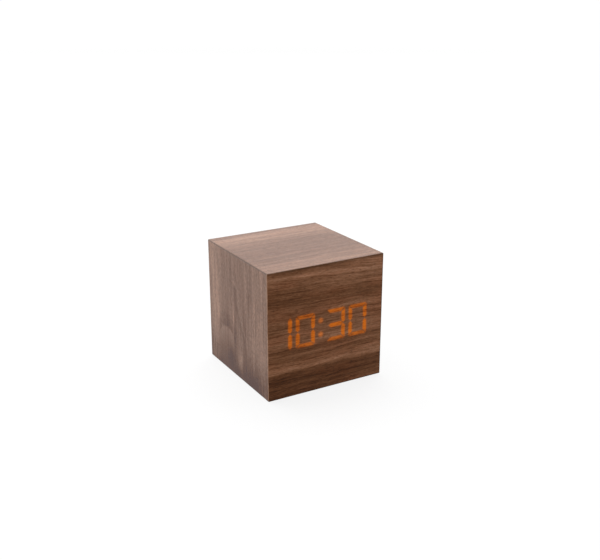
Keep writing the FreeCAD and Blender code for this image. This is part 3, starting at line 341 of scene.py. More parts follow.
class Walnut(Surface):
    """One face of the cube in walnut film or veneer, and the fibreboard where it is cut.

    along, across and below are how far a point is along the grain, across it and under the face.
    """

    def __init__(self, name, side, bands, seed, lighter=0.0, depth=0.8, fine=0.5, flecked=0.15,
                 redness=0.4):
        """depth scales the grain's lines, fine its hairs, flecked its flecks, redness its hue.

        lighter is how much lighter the wood gets along the face; on the front this is a painted
        sheen, lighter towards its right.
        """
        super().__init__(name)
        self.side = side
        self.seed = seed
        x, y, z = self.x, self.y, self.z
        self.along, self.across, self.below = {
            "front": lambda: (x + HALF, SIDE - z, y + HALF),
            "back": lambda: (HALF - x, SIDE - z, HALF - y),
            "left": lambda: (SIDE - z, HALF - y, x + HALF),
            "right": lambda: (SIDE - z, y + HALF, HALF - x),
            "top": lambda: (x + HALF, HALF - y, SIDE - z),
            "bottom": lambda: (x + HALF, y + HALF, z),
        }[side]()
        self.light, self.pores = self.grain(bands, depth, fine, flecked)
        self.light = self.light + self.along / SIDE * lighter
        if side == "front":
            self.light = self.painted_front_sheen()
        if side == "left":
            self.light = self.arched()
        cut = self.below.rise(*SKIN_EDGE)
        fibres = self.grit(FIBRE_SIZE, 3.0)
        self.colour = self.mix(cut, self.wood_colour(redness), self.ramp(fibres, FIBRES))
        self.roughness = (SKIN_ROUGHNESS + self.layer(GLOSS, 8) * 0.12 + self.pores * 0.15
                          + cut * 0.35)
        relief = self.light * 0.012 - self.pores * 0.02
        self.height = relief * (1 - cut) + cut * fibres * 0.03

    def layer(self, size, number, line=None, detail=2.0, roughness=0.5):
        """Noise as long along the grain and as wide across it as size says.

        number sets one layer of a face apart from the others. line stands in for across.
        """
        length, width = size
        place = self.across if line is None else line
        return self.noise(self.along / length, place / width, self.seed + number, detail, roughness)

    def banding(self, place, stops):
        """How light the wood is between stops of place and lightness."""
        return self.ramp(place / SIDE, [(stop / SIDE, level) for stop, level in stops], "EASE")

    def grain(self, bands, depth, fine, flecked):
        """How light the wood is, and how deep its pores are."""
        line = self.across
        if self.side == "front":
            slant = (self.across - SLANT_ACROSS) * SLANT_CLOSING - SLANT_RISE
            line = self.across + self.along / SIDE * slant
        line = line + (self.layer(WAVER, 0) - 0.5) * WAVER_REACH
        line = line + (self.layer(RIPPLE, 1) - 0.5) * RIPPLE_REACH
        streaks = self.layer(STREAKS, 2, line, 4.0, 0.70) - 0.5
        veins = self.layer(VEINS, 3, line, 1.0).rise(0.54, 0.72)
        dashes = self.layer(DASHES, 4, line, 1.0).rise(0.50, 0.70)
        hairs = self.layer(HAIRS, 5, line, 2.0, 0.7) - 0.5
        clouds = self.layer(CLOUDS, 6) - 0.5
        flecks = self.layer(FLECKS, 9, line) - 0.5
        lines = streaks * STREAK_STRENGTH - veins * VEIN_STRENGTH - dashes * DASH_STRENGTH
        lines = lines + clouds * CLOUD_STRENGTH + LIFT
        light = self.banding(line, bands) + lines * depth + hairs * fine + flecks * flecked
        pores = self.layer(PORES, 7, line, 0.0).rise(0.60, 0.74)
        return light, pores

    def painted_front_sheen(self):
        # Painted sheen, lighter towards the front's right.
        lower_right = self.along.rise(35, 62) * self.across.rise(51, 56)
        upper_right = self.along.rise(0, 40) * (1 - self.across.rise(2, 6))
        return self.light + lower_right * LOWER_RIGHT_PAINTED_SHEEN + upper_right * UPPER_RIGHT_PAINTED_SHEEN

    def arched(self):
        """The left face's lines close in an arch above its bottom edge, with patches inside it."""
        along, across = self.along, self.across
        waver = (self.layer(ARCH_WAVER, 20) - 0.5) * ARCH_WAVER_REACH
        aside = (across - ARCH_ACROSS) * ARCH_WIDENING + waver
        # The rings are drawn out upwards, and more so the farther up they are.
        above = (ARCH_ALONG - along).most(0.0)
        above = above * (1.15 - above * 0.02).most(0.55)
        ring = distance(aside, above) + (self.grit(5.0) - 0.5) * RING_UNEVENNESS
        # They fade outwards, and sooner at the left, then towards the bottom and its right.
        shown = (1 - ring.rise(20, 27)) * across.rise(4, 11)
        shown = shown * (1 - ring.rise(12, 17) * (1 - across.rise(23, 30)))
        shown = shown * (1 - along.rise(40, 52) * 0.85)
        shown = shown * (1 - along.rise(34, 48) * across.rise(24, 28) * 0.5)
        calm = (1 - ring.rise(6, 9)) * along.rise(35, 41) * CALM_STRENGTH
        light = self.light + (CALM_LIGHT - self.light) * calm
        light = light + (self.banding(ring, ARCH_RINGS) - 0.5) * shown
        # Painted shade towards the bottom edge, near the floor.
        light = light - along.rise(40, 60) * PAINTED_FLOOR_SHADE
        for patch_across, patch_along, width, height, darker in ARCH_PATCHES:
            apart = distance((across - patch_across) / width, (along - patch_along) / height)
            light = light - (1 - apart.rise(0, 1)) * darker
        return light

    def wood_colour(self, redness):
        """The colour of the film or veneer: its grain, its darker fold lines, and its paler corner,
        partly worn and partly a painted highlight.
        """
        ramps = {"front": VENEER_COLOURS, "left": LEFT_COLOURS_WITH_PAINTED_SHEEN}
        darkness = {"left": LEFT_FOLD_DARKNESS, "top": TOP_FOLD_DARKNESS}
        colour = self.ramp(self.light, ramps.get(self.side, FILM_COLOURS))
        colour = self.mix(self.layer(HUES, 7).rise(0.42, 0.68) * redness, colour, REDDER,
                          "MULTIPLY")
        colour = self.mix(self.pores * PORE_DARKNESS, colour, DARK_PORE)
        uneven = self.layer(UNEVEN_EDGES, 9)
        fold = 1 - self.from_folds(uneven).rise(0.12, 0.80)
        colour = self.mix(fold * darkness.get(self.side, FOLD_DARKNESS), colour, DARK_FOLD)
        if self.side == "left":
            # The film is paler down the front left corner: partly rubbed wear, partly a painted
            # highlight where the rounded edge catches the light.
            rubbed_and_highlit = (1 - (SIDE - self.across).rise(0.15, 0.75)) * uneven.rise(0.30, 0.60)
            colour = self.mix(rubbed_and_highlit * WEAR_AND_HIGHLIGHT_STRENGTH, colour, WORN_AND_HIGHLIT_FOLD)
        return colour

    def from_folds(self, uneven):
        """How far a point is from the nearest edge where the film is folded."""
        ends = self.along.least(SIDE - self.along)
        if self.side == "front":
            # The front's top fold is wider and uneven, and its left end is the paler corner, partly
            # worn and partly a painted highlight.
            top_fold = self.across * 0.55 + (uneven - 0.5) * 0.8
            return (SIDE - self.along).least(top_fold).least(SIDE - self.across)
        if self.side == "left":
            return ends.least(self.across)
        return ends.least(self.across.least(SIDE - self.across))

    def finished(self, specular, sheen, **settings):
        return self.finish(self.colour, self.roughness, self.height, specular_ior_level=specular,
                           sheen_weight=sheen, sheen_roughness=SHEEN_ROUGHNESS, **settings)


def film_face(name, side, bands, seed, specular=FILM_SPECULAR, **looks):
    """The finish of a face that no light shows through."""
    return Walnut(name, side, bands, seed, **looks).finished(specular, FILM_SHEEN)


# The display, as it shows through the veneer.

# Half of a digit's height and width, and how thick its segments are.
DIGIT_TOP = 7.8
DIGIT_SIDE = 5.0
STROKE = 1.9
BAR_STROKE = 1.65
# How high the display's middle is, and where the digits and the colon are along X.
DISPLAY_Z = 31.4
ONE_X = -23.65
ZERO_XS = (-11.55, 16.95)
THREE_X = 4.85
COLON_X = -3.35
COLON_RISE = 3.4
COLON_RADIUS = 1.15
# The segments' ends: the gap between them, how much is cut off a digit's corner, and how round
# they are. DIAGONAL makes a reach along X and Z a distance from a slanted edge.
MITRE_GAP = 0.25
CORNER_CUT = 0.75
ROUNDING = 0.55
DIAGONAL = 0.71


def upright(across, above, top_end):
    """How far inside an upright segment a point is.

    The segment has its own top end, and a point at the middle of the digit.
    """
    off_middle = abs(across - (DIGIT_SIDE - STROKE / 2))
    bottom_end = (above - off_middle - MITRE_GAP) * DIAGONAL
    inside = (STROKE / 2 - off_middle).soft_least(top_end(off_middle), ROUNDING)
    return inside.soft_least(bottom_end, ROUNDING)


def corner(from_side, from_top, piece):
    """A segment's shape with the digit's outer corner cut off a little."""
    return piece.soft_least((from_side + from_top - CORNER_CUT) * DIAGONAL, ROUNDING)


def mitred_upright(across, above):
    """An upright segment in a digit's upper right quarter, mitred into its corner."""
    from_side, from_top = DIGIT_SIDE - across, DIGIT_TOP - above
    piece = upright(across, above,
                    lambda off_middle: (from_top - from_side - MITRE_GAP) * DIAGONAL)
    return corner(from_side, from_top, piece)


def lone_upright(across, above):
    """The same for the digit that only shows a one, pointed at both ends."""
    return upright(across, above,
                   lambda off_middle: (DIGIT_TOP - MITRE_GAP - above - off_middle) * DIAGONAL)


def level_bar(across, above):
    """How far inside the top and bottom segments a point is, in a digit's upper right quarter."""
    from_side, from_top = DIGIT_SIDE - across, DIGIT_TOP - above
    end = (from_side - from_top - MITRE_GAP) * DIAGONAL
    piece = (BAR_STROKE / 2 - abs(from_top - BAR_STROKE / 2)).soft_least(end, ROUNDING)
    return corner(from_side, from_top, piece)


def lit_segments(surface):
    """How far inside the lit segments of 10:30 a point is, negative outside."""
    above = abs(surface.z - DISPLAY_Z)
    inside = lone_upright(surface.x - ONE_X, above)
    three = surface.x - THREE_X
    middle_end = (DIGIT_SIDE - STROKE / 2 - MITRE_GAP - abs(three) - above) * DIAGONAL
    inside = inside.most((STROKE / 2 - above).soft_least(middle_end, ROUNDING))
    sides = [(three, abs(three))]
    sides += [(abs(surface.x - place), abs(surface.x - place)) for place in ZERO_XS]
    for across, either_side in sides:
        inside = inside.most(mitred_upright(across, above)).most(level_bar(either_side, above))
    return inside


def lit_dots(surface):
    """How far inside the colon's dots a point is."""
    off_dot = abs(surface.z - DISPLAY_Z) - COLON_RISE
    return COLON_RADIUS - distance(surface.x - COLON_X, off_dot)


FRONT_SEED = 11.0
# On the front, lighter is a painted sheen that brightens the wood towards its right.
FRONT_LOOKS = {"lighter": 0.09, "depth": 0.97, "fine": 0.50, "flecked": 0.10, "redness": 0.45}
BLACK = grey(0.0)
DIM_GLOW = (0.11, 0.014, 0.0, 1.0)
BRIGHT_GLOW = (0.45, 0.100, 0.0015, 1.0)
LIT_WOOD = paint(70, 36, 6)
# How much dimmer the top and bottom segments are.
UPPER_DIMMING = 0.06
LOWER_DIMMING = 0.20
# How far outside and inside their outlines the lit shapes begin and are full.
SEGMENT_EDGE = (-0.42, 0.36)
DOT_EDGE = (-0.7, 0.7)
HALO_EDGE = (-1.2, 0.1)
DOT_STRENGTH = 0.75


def lit_veneer():
    """The front's walnut veneer with the lit digits glowing through its grain."""
    surface = Walnut("walnut_front_lit", "front", FRONT_BANDS, FRONT_SEED, **FRONT_LOOKS)
    # The veneer scatters the light, so the segments' edges waver and blur a little.
    waver = (surface.grit(0.7) - 0.5) * 0.36
    inside = lit_segments(surface) + waver
    dots = lit_dots(surface) + waver
    bar_start = DIGIT_TOP - STROKE
    in_bars = abs(surface.z - DISPLAY_Z).rise(bar_start - 0.3, bar_start + 0.5)
    lower = (DISPLAY_Z - surface.z).rise(-1, 1)
    dimming = UPPER_DIMMING + lower * (LOWER_DIMMING - UPPER_DIMMING)
    segments = inside.rise(*SEGMENT_EDGE) * (1 - in_bars * dimming)
    lit = segments.most(dots.rise(*DOT_EDGE) * DOT_STRENGTH)
    halo = inside.most(dots).rise(*HALO_EDGE)
    passing = 0.12 + surface.light * 1.35 + (surface.grit(3.0) - 0.5) * 0.6
    passing = passing * (1 - surface.pores * 0.4)
    glow = surface.mix(passing.rise(0.32, 1.18), DIM_GLOW, BRIGHT_GLOW)
    glow = surface.mix(halo * 0.10 + lit * 0.90, BLACK, glow)
    tinted = lit * 0.25 + segments * 0.60 + halo * 0.10
    surface.colour = surface.mix(tinted, surface.colour, LIT_WOOD)
    return surface.finished(VENEER_SPECULAR, VENEER_SHEEN, emission_color=glow,
                            emission_strength=1.0)


# Other finishes.

PIN_PITCH = 2.54
# How far the board's tracks run before they turn.
TRACK_RUN = 7.6
RIBBON_PITCH = 1.27
RIBBON_EDGE_X = 4.0


def moulded_plastic(name, dark, light, roughness=0.5, grain_size=0.28, depth=0.006):
    """Moulded plastic with a fine eroded texture, slightly uneven in colour."""
    surface = Surface(name)
    texture = surface.grit(grain_size, 3.0)
    patches = surface.grit(9.0)
    colour = surface.mix(patches.rise(0.35, 0.7), dark, light)
    return surface.finish(colour, roughness + (texture - 0.5) * 0.16 + (patches - 0.5) * 0.08,
                          texture * depth, specular_ior_level=0.45)


def metal(name, dark, light, roughness, scratch=(0.12, 3.0), depth=0.001):
    """Bright metal with faint stains and fine lines, drawn along X unless scratch is even."""
    surface = Surface(name)
    narrow, long = scratch
    lines = surface.noise(surface.x / long, surface.y / narrow, surface.z / narrow)
    stains = surface.grit(2.5, 3.0)
    colour = surface.mix(stains.rise(0.3, 0.7), dark, light)
    return surface.finish(colour, roughness + (lines - 0.5) * 0.2 + (stains - 0.5) * 0.15,
                          lines * depth, metallic=1.0)


def circuit_board(name):
    """Green solder mask over copper tracks and tinned pads."""
    surface = Surface(name)
    cell_x = (surface.x / PIN_PITCH).part() - 0.5
    cell_z = (surface.z / PIN_PITCH).part() - 0.5
    choice = surface.noise(surface.x / TRACK_RUN, surface.z / TRACK_RUN, 3.0, 0.0)
    lanes_x = abs(cell_x).rise(0.10, 0.13)
    lanes_z = abs(cell_z).rise(0.10, 0.13)
    tracks = 1 - surface.mix(choice.rise(0.48, 0.50), lanes_x, lanes_z)
    has_pad = surface.noise(surface.x / PIN_PITCH, surface.z / PIN_PITCH, 8.0, 0.0)
    pads = (1 - distance(cell_x, cell_z).rise(0.20, 0.23)) * has_pad.rise(0.58, 0.60)
    mask = surface.mix(tracks, paint(16, 66, 38), paint(28, 96, 54))
    mask = surface.mix(surface.grit(6.0).rise(0.3, 0.7) * 0.3, mask, paint(10, 52, 32))
    colour = surface.mix(pads, mask, paint(186, 178, 160))
    return surface.finish(colour, 0.34 + pads * 0.1, tracks * 0.02 + pads * 0.03,
                          specular_ior_level=0.5)


def insulation(name, dark, light):
    """Soft wire insulation with a faint draw along it."""
    surface = Surface(name)
    draw = surface.noise(surface.x / 0.3, surface.y / 2.5, surface.z / 2.5)
    return surface.finish(surface.mix(draw, dark, light), 0.42 + draw * 0.15, draw * 0.006,
                          specular_ior_level=0.45)


def ribbon_finish():
    """A flat cable's cores side by side, with one marked core."""
    surface = Surface("ribbon_cores")
    core = (surface.x / RIBBON_PITCH).part()
    round_core = (core * math.pi).wave()
    first = 1 - (surface.x - RIBBON_EDGE_X).rise(1.2, 1.3)
    # The cores are painted darker in the grooves between them: painted shade.
    colour = surface.mix(round_core.rise(0.0, 0.5), paint(96, 97, 100), paint(168, 170, 173))
    colour = surface.mix(first * 0.85, colour, paint(150, 44, 38))
    return surface.finish(colour, 0.45 + surface.grit(0.5) * 0.1, round_core * 0.12,
                          specular_ior_level=0.4)


def lamp_finish(name, colour, strength):
    """Amber resin lit from within, cloudy and lighter in places."""
    surface = Surface(name)
    cloud = surface.grit(0.6, 3.0)
    lighter = tuple(min(1.0, level * 1.25) for level in colour)
    body = surface.mix(cloud.rise(0.3, 0.7), colour, lighter)
    return surface.finish(body, 0.18 + cloud * 0.12, cloud * 0.01, emission_color=body,
                          emission_strength=strength, specular_ior_level=0.5)


finishes = {
    "white_plastic": moulded_plastic("white_moulding", paint(214, 211, 203), paint(228, 226, 219)),
    "black_plastic": moulded_plastic("black_moulding", paint(24, 24, 26), paint(34, 34, 36), 0.46),
    "amber_lens": lamp_finish("amber_resin", paint(226, 120, 26), 0.6),
    "amber_led": lamp_finish("amber_lamp", paint(255, 170, 70), 1.5),
    "circuit_board": circuit_board("green_board"),
    "steel": metal("zinc_plated_steel", paint(150, 152, 156), paint(196, 198, 200), 0.32),
    "tin": metal("tinned", paint(168, 170, 172), paint(210, 211, 212), 0.38, (0.2, 1.0)),
    "brass": metal("turned_brass", paint(170, 130, 62), paint(206, 166, 92), 0.3, (0.1, 0.1)),
    "microphone_can": metal("microphone_can", paint(158, 160, 162), paint(190, 192, 194), 0.42,
                            (0.3, 0.3)),
    "ribbon_grey": ribbon_finish(),
    "nickel": metal("nickel_plated", paint(176, 174, 168), paint(214, 212, 206), 0.24),
    "cell_sleeve": moulded_plastic("cell_sleeve", paint(28, 52, 92), paint(34, 62, 106), 0.3,
                                   0.8, 0.002),
    "red_insulation": insulation("red_insulation", paint(150, 22, 18), paint(182, 34, 26)),
    "black_insulation": insulation("black_insulation", paint(20, 20, 22), paint(34, 34, 36)),
}
panels = {
    "left_panel": film_face("walnut_left", "left", LEFT_BANDS, 23.0, LEFT_SPECULAR, depth=0.92,
                            fine=0.62, flecked=0.52, redness=0.2),
    "right_panel": film_face("walnut_right", "right", RIGHT_BANDS, 37.0),
    "top_panel": film_face("walnut_top", "top", TOP_BANDS, 41.0, lighter=0.01, depth=0.78,
                           fine=0.56, flecked=0.30, redness=0.2),
    "bottom_panel": film_face("walnut_bottom", "bottom", BOTTOM_BANDS, 53.0),
    "back_panel": film_face("walnut_back", "back", BACK_BANDS, 67.0),
    "front_panel": film_face("walnut_front", "front", FRONT_BANDS, FRONT_SEED, VENEER_SPECULAR,
                             **FRONT_LOOKS),
    "front_veneer": lit_veneer(),
}
for name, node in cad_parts.items():
    slot_name = node.data.materials[0].name.split(".")[0]
    node.data.materials[0] = panels.get(name) or finishes[slot_name]


# Pieces that stand for plainer CAD ones, and the door's ribs.

# Angles between two faces: under the first they make one flat face, over the second a copied
# piece's edge is rounded, and over the third a new piece's edge is sharp.
FLAT_ANGLE = math.radians(0.5)
EDGE_ANGLE = math.radians(32)
SHARP_ANGLE = math.radians(35)


def put_in_scene(name, data, body):
    """A new piece that rides on a body."""
    piece = bpy.data.objects.new(name, data)
    bpy.context.scene.collection.objects.link(piece)
    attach(piece, body)
    return piece


# Vertices of a copy that lie nearer to each other than this, in metres, are one.
MERGE_DISTANCE = 1e-6


def finished_copy(name, width, body, segments=2):
    """Replaces a CAD node with a copy whose edges are rounded by a width in millimetres."""
    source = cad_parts[name]
    mesh = bmesh.new()
    mesh.from_mesh(source.data)
    bmesh.ops.remove_doubles(mesh, verts=mesh.verts, dist=MERGE_DISTANCE)
    bmesh.ops.dissolve_limit(mesh, angle_limit=FLAT_ANGLE, verts=mesh.verts, edges=mesh.edges)
    bmesh.ops.connect_verts_concave(mesh, faces=mesh.faces)
    for face in mesh.faces:
        face.smooth = True
    data = bpy.data.meshes.new(name + "_finished")
    mesh.to_mesh(data)
    mesh.free()
    data.materials.append(source.data.materials[0])
    piece = put_in_scene(name + "_finished", data, body)
    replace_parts(piece, name)
    rounding = piece.modifiers.new("rounded edges", "BEVEL")
    rounding.width = width / MM_PER_M
    rounding.segments = segments
    rounding.limit_method = "ANGLE"
    rounding.angle_limit = EDGE_ANGLE
    rounding.miter_outer = "MITER_ARC"
    rounding.use_clamp_overlap = True
    smoothing = piece.modifiers.new("flat faces", "WEIGHTED_NORMAL")
    smoothing.keep_sharp = True


for button in ("set", "up", "down"):
    finished_copy(button + "_cap", 0.35, button + "_button", 3)
finished_copy("battery_door", 0.15, "battery_door")
finished_copy("power_socket", 0.2, "case")
finished_copy("battery_tray", 0.12, "case")


# Where the cells and their contacts are, and the springs' sizes.
CELL_PITCH = 11.0
CELL_AXIS_Z = 7.2
CONTACT_X = 23.85
SPRING_LENGTH = 3.2
SPRING_WIRE = 0.5
SPRING_BASE = 3.2
SPRING_TIP = 1.9
SPRING_PLAY = 0.1
SPRING_TURNS = 4
CLOSED_TURNS = 0.75
STEPS_PER_TURN = 28


def spring_line():
    """A conical spring's line along X, with a closed turn at each end and open turns between."""
    start = SPRING_WIRE / 2 + SPRING_PLAY
    end = SPRING_LENGTH - start
    points = []
    for step in range(STEPS_PER_TURN * SPRING_TURNS + 1):
        turn = step / STEPS_PER_TURN
        opened = (turn - CLOSED_TURNS) / (SPRING_TURNS - 2 * CLOSED_TURNS)
        opened = min(max(opened, 0.0), 1.0)
        radius = SPRING_BASE + (SPRING_TIP - SPRING_BASE) * opened
        angle = 2 * math.pi * turn
        points.append((start + (end - start) * opened, radius * math.cos(angle),
                       radius * math.sin(angle)))
    return points


def wire_curve(name, radius, lines, material):
    """Round wire along each line of points."""
    curve = bpy.data.curves.new(name, "CURVE")
    curve.dimensions = "3D"
    curve.bevel_depth = radius / MM_PER_M
    curve.bevel_resolution = 3
    curve.use_fill_caps = True
    for line in lines:
        spline = curve.splines.new("POLY")
        spline.points.add(len(line) - 1)
        for point, place in zip(spline.points, line):
            point.co = (*(value / MM_PER_M for value in place), 1.0)
        spline.use_smooth = True
    curve.materials.append(material)
    return curve


spring_lines = []
for row in (-1, 0, 1):
    side = 1 if row == 0 else -1
    spring_lines.append([(side * (CONTACT_X - x), row * CELL_PITCH + y, CELL_AXIS_Z + z)
                         for x, y, z in spring_line()])
wires = wire_curve("contact_springs_wire", SPRING_WIRE / 2, spring_lines, finishes["nickel"])
springs = put_in_scene("contact_springs_wire", wires, "case")
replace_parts(springs, "contact_springs")


def lofted(mesh, rings, materials):
    """Joins rings of points, each band in its own material. A ring of one point closes an end."""
    loops = [[mesh.verts.new([value / MM_PER_M for value in point]) for point in ring]
             for ring in rings]
    for first, second, material in zip(loops, loops[1:], materials):
        count = max(len(first), len(second))
        for step in range(count):
            following = (step + 1) % count
            corners = [first[step % len(first)], first[following % len(first)],
                       second[following % len(second)], second[step % len(second)]]
            face = mesh.faces.new(list(dict.fromkeys(corners)))
            face.material_index = material
            face.smooth = True


def finished_mesh(name, mesh, materials):
    """The data of a new piece, smooth but for its sharp edges."""
    bmesh.ops.recalc_face_normals(mesh, faces=mesh.faces)
    data = bpy.data.meshes.new(name)
    mesh.to_mesh(data)
    mesh.free()
    data.set_sharp_from_angle(angle=SHARP_ANGLE)
    for material in materials:
        data.materials.append(material)
    return data


TURNED_SIDES = 48


def turned(name, profile, place, flip, materials):
    """A turned piece about X. The profile has places along it, radii and material numbers."""
    turn = [2 * math.pi * step / TURNED_SIDES for step in range(TURNED_SIDES)]
    rings = []
    for along, radius, _ in profile:
        angles = turn if radius else [0.0]
        rings.append([(place[0] + flip * along, place[1] + radius * math.cos(angle),
                       place[2] + radius * math.sin(angle)) for angle in angles])
    mesh = bmesh.new()
    lofted(mesh, rings, [material for _, _, material in profile[1:]])
    return finished_mesh(name, mesh, materials)


SLEEVE, BAND, METAL = 0, 1, 2
# From the flat end: a dished steel base, the crimp, the sleeve folded over both edges, its band
# and the button.
CELL_PROFILE = [
    (0.25, 0, METAL), (0.25, 3.3, METAL), (0.0, 3.6, METAL), (0.0, 4.1, METAL),
    (0.3, 4.25, METAL), (0.3, 4.4, METAL), (0.15, 4.45, SLEEVE), (0.12, 4.8, SLEEVE),
    (0.24, 5.08, SLEEVE), (0.55, 5.22, SLEEVE), (0.9, 5.25, SLEEVE), (31.5, 5.25, SLEEVE),
    (31.6, 5.25, BAND), (42.6, 5.25, BAND), (42.95, 5.22, BAND), (43.25, 5.08, BAND),
    (43.37, 4.8, BAND), (43.37, 4.3, BAND), (43.30, 4.2, METAL), (43.05, 4.0, METAL),
    (43.05, 2.5, METAL), (43.2, 2.15, METAL), (43.5, 1.95, METAL), (44.2, 1.88, METAL),
    (44.42, 1.72, METAL), (44.5, 1.4, METAL), (44.5, 0, METAL),
]
cell_band = moulded_plastic("cell_band", paint(186, 190, 196), paint(204, 207, 212), 0.28, 0.8,
                            0.002)
cell_materials = [finishes["cell_sleeve"], cell_band, finishes["nickel"]]
for row, name in ((-1, "front_cell"), (0, "middle_cell"), (1, "rear_cell")):
    flip = -1 if row == 0 else 1
    flat_end = (-flip * (CONTACT_X - SPRING_LENGTH), row * CELL_PITCH, CELL_AXIS_Z)
    wrapped = turned(name + "_wrapped", CELL_PROFILE, flat_end, flip, cell_materials)
    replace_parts(put_in_scene(name + "_wrapped", wrapped, "case"), name)


RECESS_WIDTH = 0.28
RECESS_REACH = 1.05
RECESS_DEPTH = 0.75
# How deep the cross goes before it draws to a point, and how much smaller it is there.
ARM_DEPTH = RECESS_DEPTH * 0.8
ARM_TAPER = 0.55
# Where the recess's outline turns in each quarter, in degrees: at its arms' ends, at its inner
# corner and between.
RECESS_ANGLES = (0, 14.93, 21, 31, 45, 59, 69, 75.07)
THREAD_PITCH = 0.5
THREAD_CREST = 1.0
THREAD_ROOT = 0.8
TIP_LENGTH = 0.3
TIP_RADIUS = 0.5
# How far each screw of a node is turned, in radians.
FIRST_TURN = 0.5
NEXT_TURN = 1.1
# The heads' outlines from the middle out: depth and radius.
SUNK_HEAD = [(0.0, 1.3), (0.0, 1.78), (0.06, 1.84), (0.9, 1.0)]
PAN_HEAD = [(0.0, 1.3), (0.04, 1.5), (0.16, 1.71), (0.38, 1.86), (0.6, 1.9), (1.3, 1.9), (1.3, 1.0)]


def cross_radius(angle):
    """How far a cross recess reaches from its middle in the direction of an angle."""
    near, far = sorted((abs(math.cos(angle)), abs(math.sin(angle))))
    return min(RECESS_REACH / far, RECESS_WIDTH / max(near, 1e-6))


def screw_rings(head, length, turned_by):
    """The rings of a screw from its recess over its head to its tip, with its face at z = 0."""
    angles = [math.radians(quarter + angle) for quarter in (0, 90, 180, 270)
              for angle in RECESS_ANGLES]

    def ring(depth, radius_at):
        return [(radius_at(angle) * math.cos(angle + turned_by),
                 radius_at(angle) * math.sin(angle + turned_by), depth) for angle in angles]

    profile = list(head)
    while profile[-1][0] < length - 2 * THREAD_PITCH:
        foot = profile[-1][0]
        profile += [(foot + THREAD_PITCH / 2, THREAD_ROOT), (foot + THREAD_PITCH, THREAD_CREST)]
    profile += [(length - TIP_LENGTH, THREAD_ROOT), (length, TIP_RADIUS)]
    return [[(0, 0, RECESS_DEPTH)],
            ring(ARM_DEPTH, lambda angle: cross_radius(angle) * ARM_TAPER),
            ring(0.0, cross_radius),
            *(ring(depth, lambda angle: radius) for depth, radius in profile),
            [(0, 0, length)]]


def screws(node, places, direction, head, length):
    """Cross-recessed screws that stand for a node's.

    Each runs from its place, the middle of its head's face, along direction.
    """
    turn = Vector(direction).to_track_quat("Z", "Y")
    mesh = bmesh.new()
    for number, place in enumerate(places):
        rings = [[Vector(place) + turn @ Vector(point) for point in ring]
                 for ring in screw_rings(head, length, FIRST_TURN + NEXT_TURN * number)]
        lofted(mesh, rings, [0] * (len(rings) - 1))
    name = node + "_threaded"
    data = finished_mesh(name, mesh, [finishes["steel"]])
    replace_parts(put_in_scene(name, data, "case"), node)


screws("tray_screws", [(0, -19.65, 0.2), (0, 19.65, 0.2)], (0, 0, 1), SUNK_HEAD, 2.9)
screws("display_screws", [(0.7, -24.6, DISPLAY_Z - 12.3), (0.7, -24.6, DISPLAY_Z + 12.3)],
       (0, -1, 0), PAN_HEAD, 5.0)
screws("board_screws", [(-22, 15.6, 36.175), (22, 15.6, 36.175)], (0, 1, 0), PAN_HEAD, 14.0)


DOOR_TOP = 1.7
RIB_REACH = 21.5
# The ribs' half width at each height above the door's inner face.
RIB_PROFILE = [(-0.1, 0.55), (0.0, 0.55), (0.08, 0.50), (0.75, 0.42), (0.86, 0.34), (0.90, 0.2)]


def rib_outline(y, height, half_width):
    """A rib's outline at one height: straight sides along X and round ends."""
    angles = [math.radians(angle) for angle in range(-90, 91, 15)]
    end = [(RIB_REACH + half_width * math.cos(angle), half_width * math.sin(angle))
           for angle in angles]
    return [(turn * across, y + turn * along, DOOR_TOP + height)
            for turn in (1, -1) for across, along in end]


# Two stiffening ribs on the door's inner face, which lie between the cells when it is closed.
rib_mesh = bmesh.new()
for y in (-CELL_PITCH / 2, CELL_PITCH / 2):
    rib_rings = [[(0, y, DOOR_TOP + RIB_PROFILE[0][0])],
                 *(rib_outline(y, height, half_width) for height, half_width in RIB_PROFILE),
                 [(0, y, DOOR_TOP + RIB_PROFILE[-1][0])]]
    lofted(rib_mesh, rib_rings, [0] * (len(rib_rings) - 1))
rib_data = finished_mesh("battery_door_ribs", rib_mesh, [finishes["black_plastic"]])
put_in_scene("battery_door_ribs", rib_data, "battery_door")


# Camera and light, in metres.

CAMERA_AZIMUTH = math.radians(-30.174)
CAMERA_ELEVATION = math.radians(19.307)
CAMERA_DISTANCE = 0.4313
CAMERA_RIGHT = 0.003132
CAMERA_UP = 0.04206
CAMERA_VIEW = math.radians(38.67)

back = Vector((math.sin(CAMERA_AZIMUTH) * math.cos(CAMERA_ELEVATION),
               -math.cos(CAMERA_AZIMUTH) * math.cos(CAMERA_ELEVATION),
               math.sin(CAMERA_ELEVATION)))
right = Vector((math.cos(CAMERA_AZIMUTH), math.sin(CAMERA_AZIMUTH), 0))
camera_data = bpy.data.cameras.new("camera")
camera_data.sensor_fit = "HORIZONTAL"
camera_data.lens = camera_data.sensor_width / 2 / math.tan(CAMERA_VIEW / 2)
camera_data.clip_start = 0.01
camera_data.clip_end = 50
camera = bpy.data.objects.new("camera", camera_data)
camera.rotation_mode = "QUATERNION"
camera.location = back * CAMERA_DISTANCE + right * CAMERA_RIGHT + back.cross(right) * CAMERA_UP
camera.rotation_quaternion = (-back).to_track_quat("-Z", "Y")
bpy.context.scene.collection.objects.link(camera)
bpy.context.scene.camera = camera

CLOCK_MIDDLE = Vector((0, 0, 0.031))


def softbox(name, place, width, height, power):
    """A large soft lamp on the clock, in metres and watts, that the camera doesn't see."""
    data = bpy.data.lights.new(name, "AREA")
    data.shape = "RECTANGLE"
    data.size = width
    data.size_y = height
    data.energy = power
    lamp = bpy.data.objects.new(name, data)
    lamp.location = place
    lamp.rotation_mode = "QUATERNION"
    lamp.rotation_quaternion = (CLOCK_MIDDLE - Vector(place)).to_track_quat("-Z", "Y")
    lamp.visible_camera = False
    bpy.context.scene.collection.objects.link(lamp)


